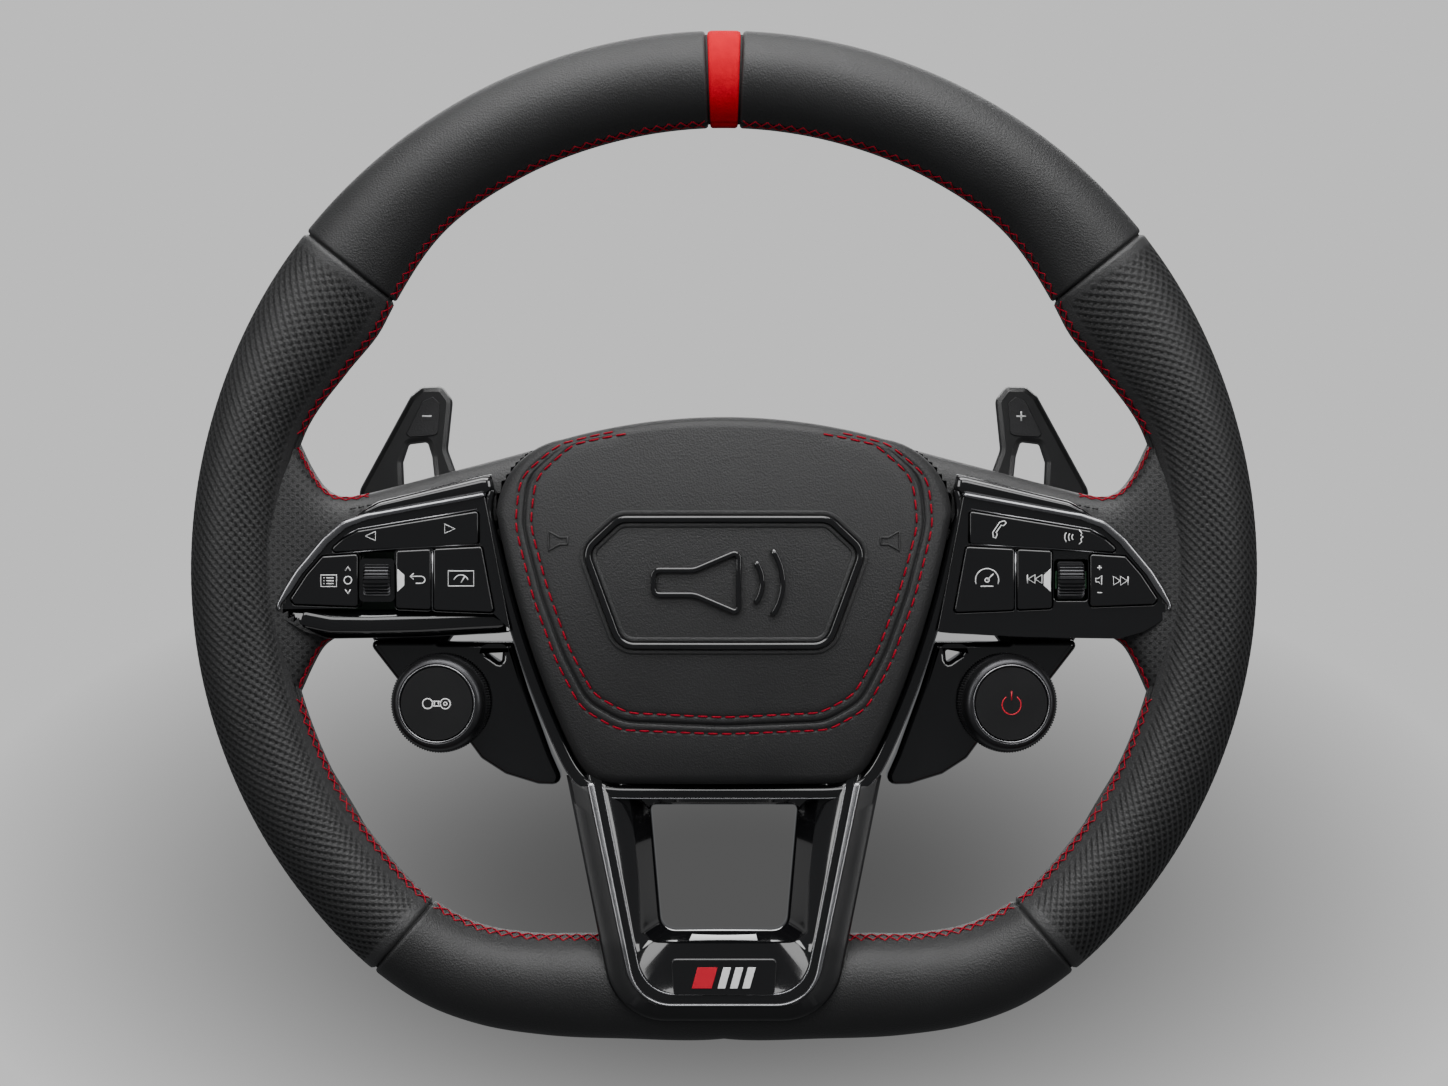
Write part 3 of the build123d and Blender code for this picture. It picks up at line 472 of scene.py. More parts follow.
def panel(name, start, end, look, nodes, holes=False):
    """One leather panel of the rim, from one angle to another. Its holes make diamonds, four grid steps apart."""
    length = abs(end - start) * math.pi / 180 * RIM_RADIUS
    if holes:
        rows, columns = 4 * round(length / HOLE_GAP), 4 * HOLES_ROUND
        s = np.arange(rows + 1) / rows * length
        around = circle(columns) + SEAM
        i, j = np.meshgrid(np.arange(rows + 1), np.arange(columns), indexing="ij")
        hole = ((i % 4 == 0) & (j % 4 == 0)) | ((i % 4 == 2) & (j % 4 == 2))
        from_end = np.minimum(s, length - s)[:, None]
        from_seam = np.minimum(j, columns - j) * STEP_ROUND
        fade = np.clip((from_end - 3.5) / 2, 0, 1) * np.clip((from_seam - 5.0) / 2.5, 0, 1)
        di = (np.roll(hole, -1, 0) & (i < rows)).astype(float) - (np.roll(hole, 1, 0) & (i > 0))
        dj = np.roll(hole, -1, 1).astype(float) - np.roll(hole, 1, 1)
        s_all = s[:, None] + 0.1 * di * fade * length / rows
        a_all = around[None] + 0.1 * dj * fade * 2 * math.pi / columns
        near = 0.5 * (1 + np.cos(math.pi * i / 2) * np.cos(math.pi * j / 2))
        lift = (-DIMPLE_DEPTH * near**2 - HOLE_DEPTH * hole) * fade
        # painted shade: the holes and the grid points next to them turn near-black
        beside = sum(np.roll(hole, d, axis) for d in (-1, 1) for axis in (0, 1))
        painted_shade = np.maximum(hole, 0.85 * beside) * fade
    else:
        ends = np.array([0, 0.15, 0.35, 0.7, 1.05, 1.4])
        count = max(4, int(length / 2.4))
        s = np.concatenate([ends, np.linspace(2.2, length - 2.2, count), length - ends[::-1]])
        fine = np.linspace(-4.5, 4.5, 31) / SKIN_RADIUS
        around = SEAM + np.concatenate([fine, np.linspace(0.36, 2 * math.pi - 0.36, 72)])
        s_all, a_all = np.meshgrid(s, around, indexing="ij")
        lift = painted_shade = 0.0
    past_seam = np.mod(a_all - SEAM + math.pi, 2 * math.pi) - math.pi
    lift = lift + ends_round(np.minimum(s_all, length - s_all)) + seam_dip(past_seam + SEAM)
    # painted shade along the groove of the sewn seam
    painted_shade = np.maximum(painted_shade, 0.9 * np.exp(-((past_seam * SKIN_RADIUS / 0.55) ** 2)))
    turn = start + (end - start) * s_all / length
    points = rim(turn, a_all, lift)
    faces = grid_faces(*s_all.shape, wrap_columns=True)
    return finish_mesh(name, points, faces, look, "wheel", nodes=nodes, attribute=("painted_shade", painted_shade))


GAP, MARK = 0.10, 2.05
panel("rim_top_right", 38.5 + GAP, 90 - MARK, smooth_leather, ["leather_top_right"])
panel("rim_top_left", 90 + MARK, 141.5 - GAP, smooth_leather, ["leather_top_left"])
panel("rim_bottom", -130.8 + GAP, -49.2 - GAP, smooth_leather, ["leather_bottom"])
panel("rim_grip_right", -49.2 + GAP, 38.5 - GAP, grip_leather, ["leather_grip_right"], holes=True)
panel("rim_grip_left", 141.5 + GAP, 229.2 - GAP, grip_leather, ["leather_grip_left"], holes=True)
panel("rim_marker", 90 - MARK + 0.25, 90 + MARK - 0.25, red_leather, ["centre_marker"])

stitching = Bundle()
PITCH, REACH = 4.0, 0.15
for start, end in ((39.0, 87.5), (92.5, 141.0), (142.0, 163.0), (197.5, 228.6), (-130.2, -49.8), (-48.6, -17.5),
                   (17.0, 38.0)):
    count = int(abs(end - start) * math.pi / 180 * SEAM_RADIUS / PITCH)
    for k in range(count):
        a, b = (start + (end - start) * (k + f) / count for f in (0.0, 1.0))
        for sign in (1, -1):
            f = np.linspace(-1, 1, 7)
            line = rim(a + (b - a) * (f * 0.5 + 0.5), SEAM + sign * REACH * f, 0.10 + 0.22 * (1 - f**4))
            stitching.tube(line, 0.24, sides=6)
stitching.build("rim_stitching", thread, "wheel")

# -------- hub pad

PAD_CENTRE = np.array([0.0, -12.0])
PAD_LOW, PAD_CORNER, PAD_SMOOTHING, PAD_POINTS = -75.7, 16, 90, 520
PAD_SPHERE, PAD_SPHERE_CENTRE, PAD_BACK = 260.0, -156.0, 69.0


def pad_line(steps=24):
    """The pad's outline, anticlockwise from the right."""
    right = arc((47, PAD_LOW), (68.6, -22), (78.5, 18), steps * 2)[:-1]
    right += arc((78.5, 18), (74, 31.2), (55, 43.2), steps // 2)
    crown = arc((55, 43.2), (0, 50.6), (-55, 43.2), steps * 2)[1:-1]
    return rounded_dense(right + crown + flip(right[::-1], -1))


def rounded_dense(points):
    """The outline with its two bottom corners rounded and points about a millimetre apart."""
    p = np.array(points, float)
    closed = np.vstack([p, p[:1]])
    at = lengths(closed)
    even = np.linspace(0, at[-1], PAD_POINTS, endpoint=False)
    q = np.stack([np.interp(even, at, closed[:, 0]), np.interp(even, at, closed[:, 1])], 1)
    return np.where(q[:, 1:] < PAD_LOW + PAD_CORNER, smoothed(q, PAD_SMOOTHING), q)


OUTLINE = pad_line()
OUTER_ROW = [(36.8, 47.8), (56.8, 41.1), (70, 29.8), (71.6, 13.5), (65.2, -11.6), (57.4, -33), (49, -49.3),
             (36, -56.6), (0, -57.9)]
INNER_ROW = [(30, 50), (51.8, 41.1), (64.6, 29.8), (66.3, 13.5), (60.4, -8), (53.1, -28.2), (44.6, -44.5),
             (33, -50.7), (0, -52.1)]


def crown_height(x, z):
    """The pad's domed face."""
    return np.sqrt(PAD_SPHERE**2 - x**2 - z**2) + PAD_SPHERE_CENTRE


def by_direction(row, angle):
    """How far a stitch row is from the pad's centre in each direction."""
    line = dense(row + flip(row[-2::-1], -1), closed=False)
    return smoothed(reach_at(angle, line, PAD_CENTRE), 30)


delta = OUTLINE - PAD_CENTRE
direction = np.arctan2(delta[:, 1], delta[:, 0])
reach = np.hypot(delta[:, 0], delta[:, 1])
d_out, d_in = by_direction(OUTER_ROW, direction), by_direction(INNER_ROW, direction)
row_out = np.minimum(d_out, reach - 1.8)
row_in = np.minimum(d_in, row_out - 1.6)
middle = (row_in + row_out) / 2
spread = np.clip((row_out - row_in - 2.6) / 2.4, 0, 1)
EDGE = 4.0
levels = [row_in * q for q in np.linspace(0.04, 0.93, 14)]
levels += [line + q for line in (row_in, middle, row_out) for q in (-1.1, -0.7, -0.35, 0, 0.35, 0.7, 1.1)]
levels += [reach - q for q in (4.0, 3.2, 2.4, 1.7, 1.1, 0.6, 0.25, 0.0)]
levels = np.sort(np.minimum(np.array(levels), reach), axis=0)
unit = delta / reach[:, None]


def pad_skin(level):
    """The height of the pad's skin at a distance from its centre in every direction."""
    xz = PAD_CENTRE + unit * level[:, None]
    rim_drop = EDGE - np.sqrt(np.maximum(0, EDGE**2 - np.maximum(0, EDGE - (reach - level)) ** 2))
    sunk = sum(depth * np.exp(-(((level - line) / width) ** 2)) for depth, line, width in
               ((0.4, row_in, 0.6), (0.4, row_out, 0.6), (1.3 * spread, middle, 0.55)))
    seen = np.where(xz[:, 1] > 0, np.clip((np.abs(xz[:, 0]) - 33) / 6, 0, 1), 1)
    return crown_height(xz[:, 0], xz[:, 1]) - rim_drop - sunk * seen


rows = [raised(PAD_CENTRE + unit * level[:, None], pad_skin(level)) for level in levels]
edge = pad_skin(reach)
rows += [raised(OUTLINE, edge + (PAD_BACK - edge) * share) for share in (0.33, 0.67, 1.0)]
pad_points = np.concatenate([raised([PAD_CENTRE], crown_height(*PAD_CENTRE)), *rows])
n = len(OUTLINE)
pad_faces = [[0, 1 + k, 1 + (k + 1) % n] for k in range(n)]
pad_faces += (grid_faces(len(rows), n, wrap_columns=True) + 1).tolist()
pad = finish_mesh("pad_skin", pad_points, pad_faces, pad_leather, "horn_pad", nodes=["pad_cover"])

pad_stitches = Bundle()
for line, span in ((row_out, 37.5), (row_in, 33.0)):
    xz, h = PAD_CENTRE + unit * line[:, None], pad_skin(line)
    keep = np.where((np.abs(xz[:, 0]) > span) | (xz[:, 1] < 0))[0]
    start = keep[(np.argmax(np.diff(keep, append=keep[0] + n) > 1) + 1) % len(keep)]
    xz, h = (np.roll(v, -start, 0)[: len(keep)] for v in (xz, h))
    run = lengths(xz)
    for a in np.arange(0.5, run[-1] - 3.4, 4.7):
        s = np.linspace(a, a + 3.2, 7)
        x, z = np.interp(s, run, xz[:, 0]), np.interp(s, run, xz[:, 1])
        lift = np.interp(s, run, h) + 0.4 * np.sin(np.linspace(0, math.pi, 7)) ** 0.5
        pad_stitches.tube(np.stack([x, lift, z], 1), 0.3, sides=6)
pad_stitches.build("pad_stitching", thread, "horn_pad")


def on_pad(points, rise):
    """Front-view points lifted onto the pad's face."""
    p = np.array(points, float)
    return raised(p, crown_height(p[:, 0], p[:, 1]) + rise)


BEAD = [(-35.8, 15.6), (35.8, 15.6), (47.4, 4.8), (35.4, -27.6), (-35.4, -27.6), (-47.4, 4.8)]
bead_line = dense(rounded(BEAD, [7, 7, 6, 7, 7, 6], 8))
carried("pad_bead_frame", on_pad(bead_line, 0.4), pillow(2.4, 3.0), gloss, "horn_pad", True, ["pad_bead"])
groove = Bundle()
for amount in (2.1, -2.1):
    groove.add(*sweep(on_pad(dense(offset_line(bead_line, amount)), -0.1), pillow(1.6, 1.2), True))
groove.build("pad_bead_piping", pad_leather, "horn_pad")

horn = rounded([(-24, -1.8), (-10, -1.8), (5, 4.6), (5, -16.6), (-10, -10.2), (-24, -10.2)], [2, 8, 1.5, 1.5, 8, 2], 6)
symbol = Bundle().add(*sweep(on_pad(dense(horn), 0.5), pillow(1.9, 2.2), True))
for radius in (12, 19):
    wave = [(1 + radius * math.cos(a), -6 + radius * math.sin(a)) for a in np.linspace(-0.62, 0.62, 16)]
    symbol.add(*sweep(on_pad(wave, 0.5), pillow(1.9, 2.2)))
symbol.build("pad_horn_symbol", gloss, "horn_pad", nodes=["pad_symbol"])

marks = Bundle()
for side in SIDES.values():
    outline = [(53.5, 9.3), (56.2, 9.3), (60, 11.4), (60, 4.8), (56.2, 6.9), (53.5, 6.9)]
    marks.tube(on_pad(dense(flip(outline, side), gap=0.7), 0.12), 0.34, closed=True, sides=6)
marks.build("pad_horn_marks", pad_leather, "horn_pad")

# -------- spokes

POD = [(82.5, 24), (123, 16.5), (130.8, 13.7), (137.2, 8.2), (146.5, -2.9), (153.9, -14.5), (152.5, -18.6),
       (144.6, -23.3), (136.3, -25.6), (104.8, -25.1), (73.4, -23.3)]
SPOKE_KEYS = [62, 75, 95, 115, 125, 131, 136, 140, 144, 148, 152, 156, 160, 164]
SPOKE_TOP = [41.1, 37.6, 32.3, 27.0, 24.5, 23.6, 24.6, 28.0, 34.5, 43, 50, 54, 56, 57]
SPOKE_LOW = [-22, -22, -22, -22, -23, -24, -26, -29.5, -37, -46, -52, -56, -58, -59]
SPOKE_FRONT = [81.5, 82, 82.5, 83, 83.8, 84.8, 85.6, 86.2, 86.9, 87.8, 89, 90.8, 93.0, 95]
SPOKE_BACK = [58, 58.5, 59.5, 61, 62, 62.5, 63.5, 64, 65, 66, 66, 66, 66, 66]


def inside(points, outline):
    """Which points (x, z) lie inside an outline."""
    x, z = points[..., 0], points[..., 1]
    result = np.zeros(x.shape, bool)
    for (ax, az), (bx, bz) in zip(outline, outline[1:] + outline[:1]):
        crosses = ((az > z) != (bz > z)) & (x < (bx - ax) * (z - az) / ((bz - az) or 1e-9) + ax)
        result ^= crosses
    return result


def spoke_skin(x, t, side):
    """Points of a spoke's leather at distances from the hub and angles round its section."""
    x, t = np.broadcast_arrays(np.asarray(x, float), np.asarray(t, float))
    top, bottom, face, rear = (spline(SPOKE_KEYS, edge, x) for edge in
                               (SPOKE_TOP, SPOKE_LOW, SPOKE_FRONT, SPOKE_BACK))
    c, s = np.cos(t), np.sin(t)
    z = (top + bottom) / 2 + (top - bottom) / 2 * np.sign(c) * np.abs(c) ** 0.55
    h = (face + rear) / 2 + (face - rear) / 2 * np.sign(s) * np.abs(s) ** 0.55
    return np.stack([side * x, h, z], -1)


for name, side in SIDES.items():
    xs = np.concatenate([np.arange(66, 124, 1.6), np.arange(124, 164.1, 0.9)])
    t = np.linspace(0, 2 * math.pi, 160, endpoint=False)
    points = spoke_skin(xs[:, None], t[None], side)
    x, h, z = side * points[..., 0], points[..., 1], points[..., 2]
    faces = grid_faces(len(xs), len(t), wrap_columns=True)
    middle, height = np.stack([x, z], -1).reshape(-1, 2)[faces].mean(1), h.reshape(-1)[faces].mean(1)
    under_pod = inside(middle, offset_line(POD, -2.2).tolist()) & (height > 76)
    under_pad = inside(middle, offset_line(OUTLINE, 0.9).tolist()) & (height > 63)
    keep = ~(under_pod | under_pad)
    finish_mesh(f"spoke_leather_{name}", points, faces[keep], spoke_leather, "wheel", nodes=[f"spoke_cover_{name}"])

    hem = Bundle()
    for k in range(16):
        ends = 84 + 2.9 * k + np.array([0, 0.9, 1.8])
        zt = spline(SPOKE_KEYS, SPOKE_TOP, ends) - 4.5
        hh = spline(SPOKE_KEYS, SPOKE_FRONT, ends) + np.array([-0.5, -0.1, -0.5])
        hem.tube(np.stack([side * ends, hh, zt], 1), 0.3, sides=6)
    hem.build(f"spoke_stitching_{name}", pad_leather, "wheel")

    crosses = Bundle()
    for middle_angle in (math.radians(20), math.radians(160)):
        ends = [148.0]
        while ends[-1] > 127:
            here = spoke_skin([ends[-1], ends[-1] - 0.5], middle_angle, side)
            ends.append(ends[-1] - 0.5 * PITCH / max(0.5, np.linalg.norm(here[0] - here[1])))
        for x0, x1 in zip(ends, ends[1:]):
            for sign in (1, -1):
                f = np.linspace(-1, 1, 5)
                line = spoke_skin(x0 + (x1 - x0) * (f + 1) / 2, middle_angle + sign * 0.12 * f, side)
                crosses.tube(line + np.array([0, 0.15, 0.1 if middle_angle < 1 else -0.1]), 0.24, sides=6)
    crosses.build(f"thumb_stitching_{name}", thread, "wheel")

# -------- hub bezel

clear = OUTLINE[:, 1] < 25.5
first = np.argmax(clear & ~np.roll(clear, 1))
u_line = np.roll(OUTLINE, -first, 0)[: clear.sum()]
if u_line[0, 0] < 0:
    u_line = u_line[::-1]


def beside(line, amount):
    """A run of the pad's outline moved outwards."""
    moved = offset_line(OUTLINE, amount)
    index = [int(np.argmin(np.sum((OUTLINE - q) ** 2, 1))) for q in line]
    return moved[index]


bezel_run = beside(u_line, 3.0)
taper = np.minimum(np.linspace(0, 30, len(bezel_run)), np.linspace(30, 0, len(bezel_run)))
width = 2.6 + 2.4 * np.clip(taper / 2, 0, 1)
section = np.stack([pillow(w, 22.0, 20, 6) for w in width])
carried("hub_bezel_shell", raised(bezel_run, 76.6), section, gloss, nodes=["hub_bezel"])
# painted highlight: a thin satin line along the gloss bezel's outer edge, where it catches the light
carried("hub_bezel_highlight", raised(beside(u_line, 5.0), 86.9), oval(0.28, 0.28), satin)

# -------- switch pods

ROCKER = [(84.6, 18.4), (126, 11.6), (131.2, 8.8), (136.6, 4.2), (84.6, 7.2)]
BUTTONS = {
    "hub": [(83.4, 6.2), (99.9, 5.4), (99.9, -15.6), (79.2, -16.4)],
    "inner": [(100.9, 5.3), (112.9, 4.7), (112.9, -15.0), (100.9, -15.5)],
    "outer": [(126.0, 3.6), (138.2, 2.8), (143.6, -3.4), (149.2, -11.8), (148.0, -13.6), (126.0, -14.4)],
}
BUTTON_FACE, POD_FACE = 89.85, 88.6


def on_button(points):
    """Points on a button's face."""
    return raised(points, BUTTON_FACE)


def ring(cx, cz, r, start=0, end=360, steps=20):
    """Points on a circle or an arc."""
    points = [(cx + r * math.cos(math.radians(a)), cz + r * math.sin(math.radians(a)))
              for a in np.linspace(start, end, steps)]
    if end - start == 360:
        points[-1] = points[0]
    return points


def moved(strokes, dx, dz):
    """Strokes shifted across and up."""
    return [[(x + dx, z + dz) for x, z in s] for s in strokes]


triangle_left = [[(-1.9, 0), (1.6, 1.6), (1.6, -1.6), (-1.9, 0)]]
triangle_right = [flip(s, -1) for s in triangle_left]
menu = [[(-2.7, -2), (2.7, -2), (2.7, 2), (-2.7, 2), (-2.7, -2)], [(-0.8, 1), (1.7, 1)], [(-0.8, 0), (1.7, 0)],
        [(-0.8, -1), (1.7, -1)], [(-1.8, 1), (-1.5, 1)], [(-1.8, 0), (-1.5, 0)], [(-1.8, -1), (-1.5, -1)]]
chevrons = [[(-0.9, 3.2), (0, 4.6), (0.9, 3.2)], [(-0.9, -3.2), (0, -4.6), (0.9, -3.2)], ring(0, 0, 1.3)]
back_arrow = [[(-2.4, 0.9), (1.4, 0.9)], ring(1.4, -0.3, 1.2, -90, 90, 8), [(1.4, -1.5), (-0.6, -1.5)],
              [(-1.2, 2.0), (-2.5, 0.9), (-1.2, -0.2)]]
screen = [[(-4.4, -2.6), (4.4, -2.6), (4.4, 2.6), (-4.4, 2.6), (-4.4, -2.6)], ring(0, -1.4, 2.6, 20, 160, 9),
          [(0, -1.4), (1.3, 0.6)]]
handset = [[(-1.9, -2.6), (-1.0, -2.9), (-0.5, -1.6), (-0.9, -1.0), (0.9, 1.5), (1.7, 1.3), (2.6, 2.3), (1.9, 3.0),
            (0.4, 2.6), (-2.0, -0.9), (-1.9, -2.6)]]
voice = [[(0.6, 2.6), (1.6, 1.4), (1.2, 0.6), (2.0, 0.2), (1.3, -0.6), (1.5, -1.6), (0.6, -2.4)],
         ring(-0.6, 0, 1.2, 130, 230, 7), ring(-1.2, 0, 1.8, 135, 225, 7), ring(-1.8, 0, 2.5, 140, 220, 7)]
track_back = [[(-2.6, 1.5), (-2.6, -1.5)], [(-2.4, 0), (0, 1.5), (0, -1.5), (-2.4, 0)],
              [(0, 0), (2.4, 1.5), (2.4, -1.5), (0, 0)]]
track_on = [flip(s, -1) for s in track_back]
volume = [[(-0.8, 4.3), (0.8, 4.3)], [(0, 3.5), (0, 5.1)], [(-0.8, -4.3), (0.8, -4.3)],
          [(-1.3, 0.6), (-0.4, 0.6), (0.7, 1.6), (0.7, -1.6), (-0.4, -0.6), (-1.3, -0.6), (-1.3, 0.6)]]
gauge = [ring(0, -0.8, 4.0, -20, 200, 16), [(0, -0.8), (2.2, 1.4)], ring(0, -0.8, 0.7), [(-2.2, -2.9), (2.2, -2.9)]]
ICONS = {
    "left": {"rocker": moved(triangle_left, -121.5, 9.8) + moved(triangle_right, -94.5, 12.3),
             "hub": moved(screen, -90.5, -4.8), "inner": moved(back_arrow, -105.5, -5.0),
             "outer": moved(menu, -136.0, -5.6) + moved(chevrons, -129.4, -5.4)},
    "right": {"rocker": moved(handset, 94.5, 12.0) + moved(voice, 121.5, 9.4),
              "hub": moved(gauge, 90.5, -4.6), "inner": moved(track_back, 107.0, -5.0),
              "outer": moved(track_on, 136.4, -5.6) + moved(volume, 129.2, -5.4)},
}

for name, side in SIDES.items():
    pod = rounded(flip(POD, side), [1, 6, 6, 8, 10, 4, 4, 6, 6, 3, 1], 4)
    roller_hole = [(114.0, -12.2), (125.0, -12.2), (125.0, 1.4), (114.0, 1.4)]
    holes = [offset_line(rounded(flip(shape, side), 1.0, 3), 0.35).tolist()
             for shape in (ROCKER, *BUTTONS.values(), roller_hole)]
    plate(f"pod_{name}", [pod, *holes], 78, POD_FACE, gloss, "wheel", 0.3, 2, nodes=[f"switch_bezel_{name}"])

    strip = dense(rounded([(82.6, 24.0), (123, 16.5), (130.8, 13.7), (137.2, 8.2), (146.5, -2.9), (153.6, -14.3),
                           (151.8, -18.4), (60, -60)], [0, 6, 6, 8, 10, 3, 0, 0], 6)[:-2], closed=False)
    end = int(np.argmin(np.hypot(strip[:, 0] - 151.8, strip[:, 1] + 18.4)))
    strip = strip[: end + 1]
    run = lengths(strip)
    wide = np.interp(run, [0, 36, 52, run[-1] - 8, run[-1]], [1.8, 2.2, 3.2, 3.0, 1.2])
    path = raised(strip * (side, 1), np.interp(run, [0, run[-1]], [87.9, 88.9]))
    section = np.stack([pillow(w, 3.4, 14, 2.6) for w in wide])
    carried(f"pod_strip_{name}", path, section, satin, nodes=["bezel_strips"] if side < 0 else [])
    normal = np.cross(np.gradient(path, axis=0), (0, side, 0))
    normal /= np.linalg.norm(normal, axis=1, keepdims=True)
    broad = np.interp(run, [0, 36, 47], [6.6, 4.6, 0.8])
    upper = (path + normal * (broad / 2)[:, None] - np.array([0, 2.2, 0]))[run < 47]
    upper = np.vstack([upper[:1] + (upper[:1] - upper[4:5]) * 0.9, upper])
    section = np.stack([pillow(w, 5.0, 18, 2.4) for w in np.concatenate([broad[:1], broad[run < 47]])])
    carried(f"pod_shoulder_{name}", upper, section, gloss)

    lip = np.array([(75.5, -19.3), (88, -19.6), (104, -20.2), (122, -20.6), (136, -20.4), (145, -18.6), (150.5, -16.2)])
    path = raised(lip * (side, 1), [80.8, 81.2, 81.6, 82, 82.6, 83.2, 83.6])
    path = np.stack([np.interp(np.linspace(0, 6, 60), range(7), path[:, k]) for k in range(3)], 1)
    thick = np.interp(np.linspace(0, 1, 60), [0, 0.04, 0.35, 0.85, 1], [8.6, 9.2, 10.2, 9.2, 4])
    section = np.stack([pillow(w, w * 0.95, 20, 2.3) for w in thick])
    carried(f"pod_lip_{name}", path, section, gloss)

    for key, shape in (("rocker", ROCKER), *BUTTONS.items()):
        node = f"rocker_{name}" if key == "rocker" else f"button_{key}_{name}"
        body = f"{name}_rocker" if key == "rocker" else f"{name}_{key}_button"
        plate(f"{key}_face_{name}", [rounded(flip(shape, side), 1.0, 3)], 83, 89.8, gloss, body, 0.45, 3, nodes=[node])
        ink(f"{key}_icon_{name}", ICONS[name][key], white_ink, body, on_button)

    plate(f"inner_light_{name}", [flip([(112.4, -1.4), (110.0, -3.6), (110.0, -7.2), (112.4, -9.4)], side)],
          89.5, 89.95, white_ink, f"{name}_inner_button", 0.08, 1)

    # painted highlights: thin satin lines along the buttons' edges and between them, where the gloss catches the light
    highlight_lines = Bundle()
    for x0, x1, z in ((100.5, 112.6, -13.6), (126.4, 147.0, -13.0)):
        ray = [(x0, z + 0.9), ((x0 + x1) / 2, z), (x1, z - 0.2)]
        highlight_lines.tube(raised(flip(ray, side), POD_FACE + 0.15), 0.22, flat=0.4)
    for width, ray in ((0.28, [(100.4, 6.0), (100.4, -15.8)]), (0.22, [(84.4, 7.0), (112, 5.6), (137.6, 3.4)]),
                       (0.22, [(85, 19.0), (126, 12.2), (131.6, 9.3)])):
        highlight_lines.tube(raised(flip(ray, side), POD_FACE + 0.1), width, flat=0.4)
    highlight_lines.build(f"pod_highlight_lines_{name}", satin, "wheel")

    teeth, steps = 30, 240
    t = circle(steps)
    wave = np.clip(np.cos(t * teeth) * 2.2, -1, 1)
    rows = []
    for x, r in ((114.9, 3.0), (114.9, 5.6), (115.5, 6.2), (123.5, 6.2), (124.1, 5.6), (124.1, 3.0)):
        rr = r + 0.36 * wave * (1 if r > 4 else 0)
        rows.append(np.stack([np.full(steps, side * x), 85.4 + rr * np.sin(t), -5.4 + rr * np.cos(t)], 1))
    faces = grid_faces(len(rows), steps, wrap_columns=True).tolist()
    faces += [list(range(steps)), [(len(rows) - 1) * steps + k for k in range(steps)][::-1]]
    finish_mesh(f"roller_ribs_{name}", np.concatenate(rows), faces, dark_metal, f"{name}_roller", 40,
                nodes=[f"roller_{name}"])

# -------- satellite arms and knobs

SATELLITE = [(60, -66), (55.2, -76.8), (64.6, -76.5), (76, -73), (84.5, -67.5), (90, -60), (106, -56),
             (112.2, -42), (124.5, -26.2), (99.8, -26.2), (99.2, -27), (73.4, -27), (68, -44)]
WINDOW = [(77, -29.8), (84.5, -29.8), (77.4, -34.5)]
LEAN = math.radians(7.0)
links_icon = [ring(-3.1, 0, 1.75), ring(3.1, 0, 1.75), [(-1.3, 0.8), (1.3, 0.8)], [(-1.3, -0.8), (1.3, -0.8)],
              [(-0.7, 0.75), (-0.7, -0.75)], [(0.7, 0.75), (0.7, -0.75)], ring(3.1, 0, 0.6, steps=10)]
power_icon = [ring(0, -0.4, 3.3, -235, 55, 24), [(0, 1.2), (0, 4.4)]]
KNOB_BASE = [(0.1, -14), (15.4, -14), (15.8, -13), (15.8, -0.6), (15.2, 0.05), (13.1, 0.05), (13.1, 2.1), (0.1, 2.1)]
KNOB_GRIP = [(13.25, 0.5), (16.3, 0.5), (16.7, 0.9), (16.7, 5.6), (16.4, 6.3), (16.2, 6.9), (15.9, 8.6), (15.2, 9.9),
             (14.3, 10.5), (13.9, 10.6), (13.5, 10.4), (13.25, 9.9), (13.25, 0.5)]
KNOB_CAP = [(0.1, 4.2), (12.7, 4.2), (12.85, 4.5), (12.85, 10.0), (12.5, 10.45), (0.1, 10.5)]
KNOB_EDGE, KNOB_FACE = (13.25, 10.4), 10.52

for name, side in SIDES.items():
    plate(f"satellite_arm_{name}", [rounded(flip(SATELLITE, side), [0, 3, 4, 4, 4, 5, 6, 6, 2, 1, 1, 1, 2], 4),
                                    rounded(flip(WINDOW, side), 0.8, 3)], 62, 77.8, gloss, "wheel", 2.2, 5,
          nodes=[f"satellite_{name}"])

    def knob(u, v, w, side=side):
        """A point from knob coordinates: u across, v up, w along the knob's axis."""
        x = side * 97.6 + u * math.cos(LEAN) + w * side * math.sin(LEAN)
        y = -80.0 + u * side * math.sin(LEAN) - w * math.cos(LEAN)
        return np.stack([x, -y, -47.9 + v], -1)

    turned(f"knob_base_{name}", KNOB_BASE, knob, gloss, "wheel")
    turned(f"knob_grip_{name}", KNOB_GRIP, knob, dark_metal, f"{name}_knob_ring", 224, (2, 3), 0.5,
           [f"knob_ring_{name}"])
    turned(f"knob_face_{name}", KNOB_CAP, knob, soft_gloss, f"{name}_knob_cap", 96, nodes=[f"knob_cap_{name}"])
    edge = KNOB_EDGE[0] * np.stack([np.cos(circle(96)), np.sin(circle(96))])
    carried(f"knob_edge_{name}", knob(*edge, KNOB_EDGE[1]), oval(0.28, 0.28), satin, f"{name}_knob_ring", True)
    picture, look = (links_icon, white_ink) if side < 0 else (power_icon, red_ink)
    ink(f"knob_icon_{name}", picture, look, f"{name}_knob_cap", lambda p: knob(*p.T, KNOB_FACE), 0.22, 0.4)

# -------- shift paddles

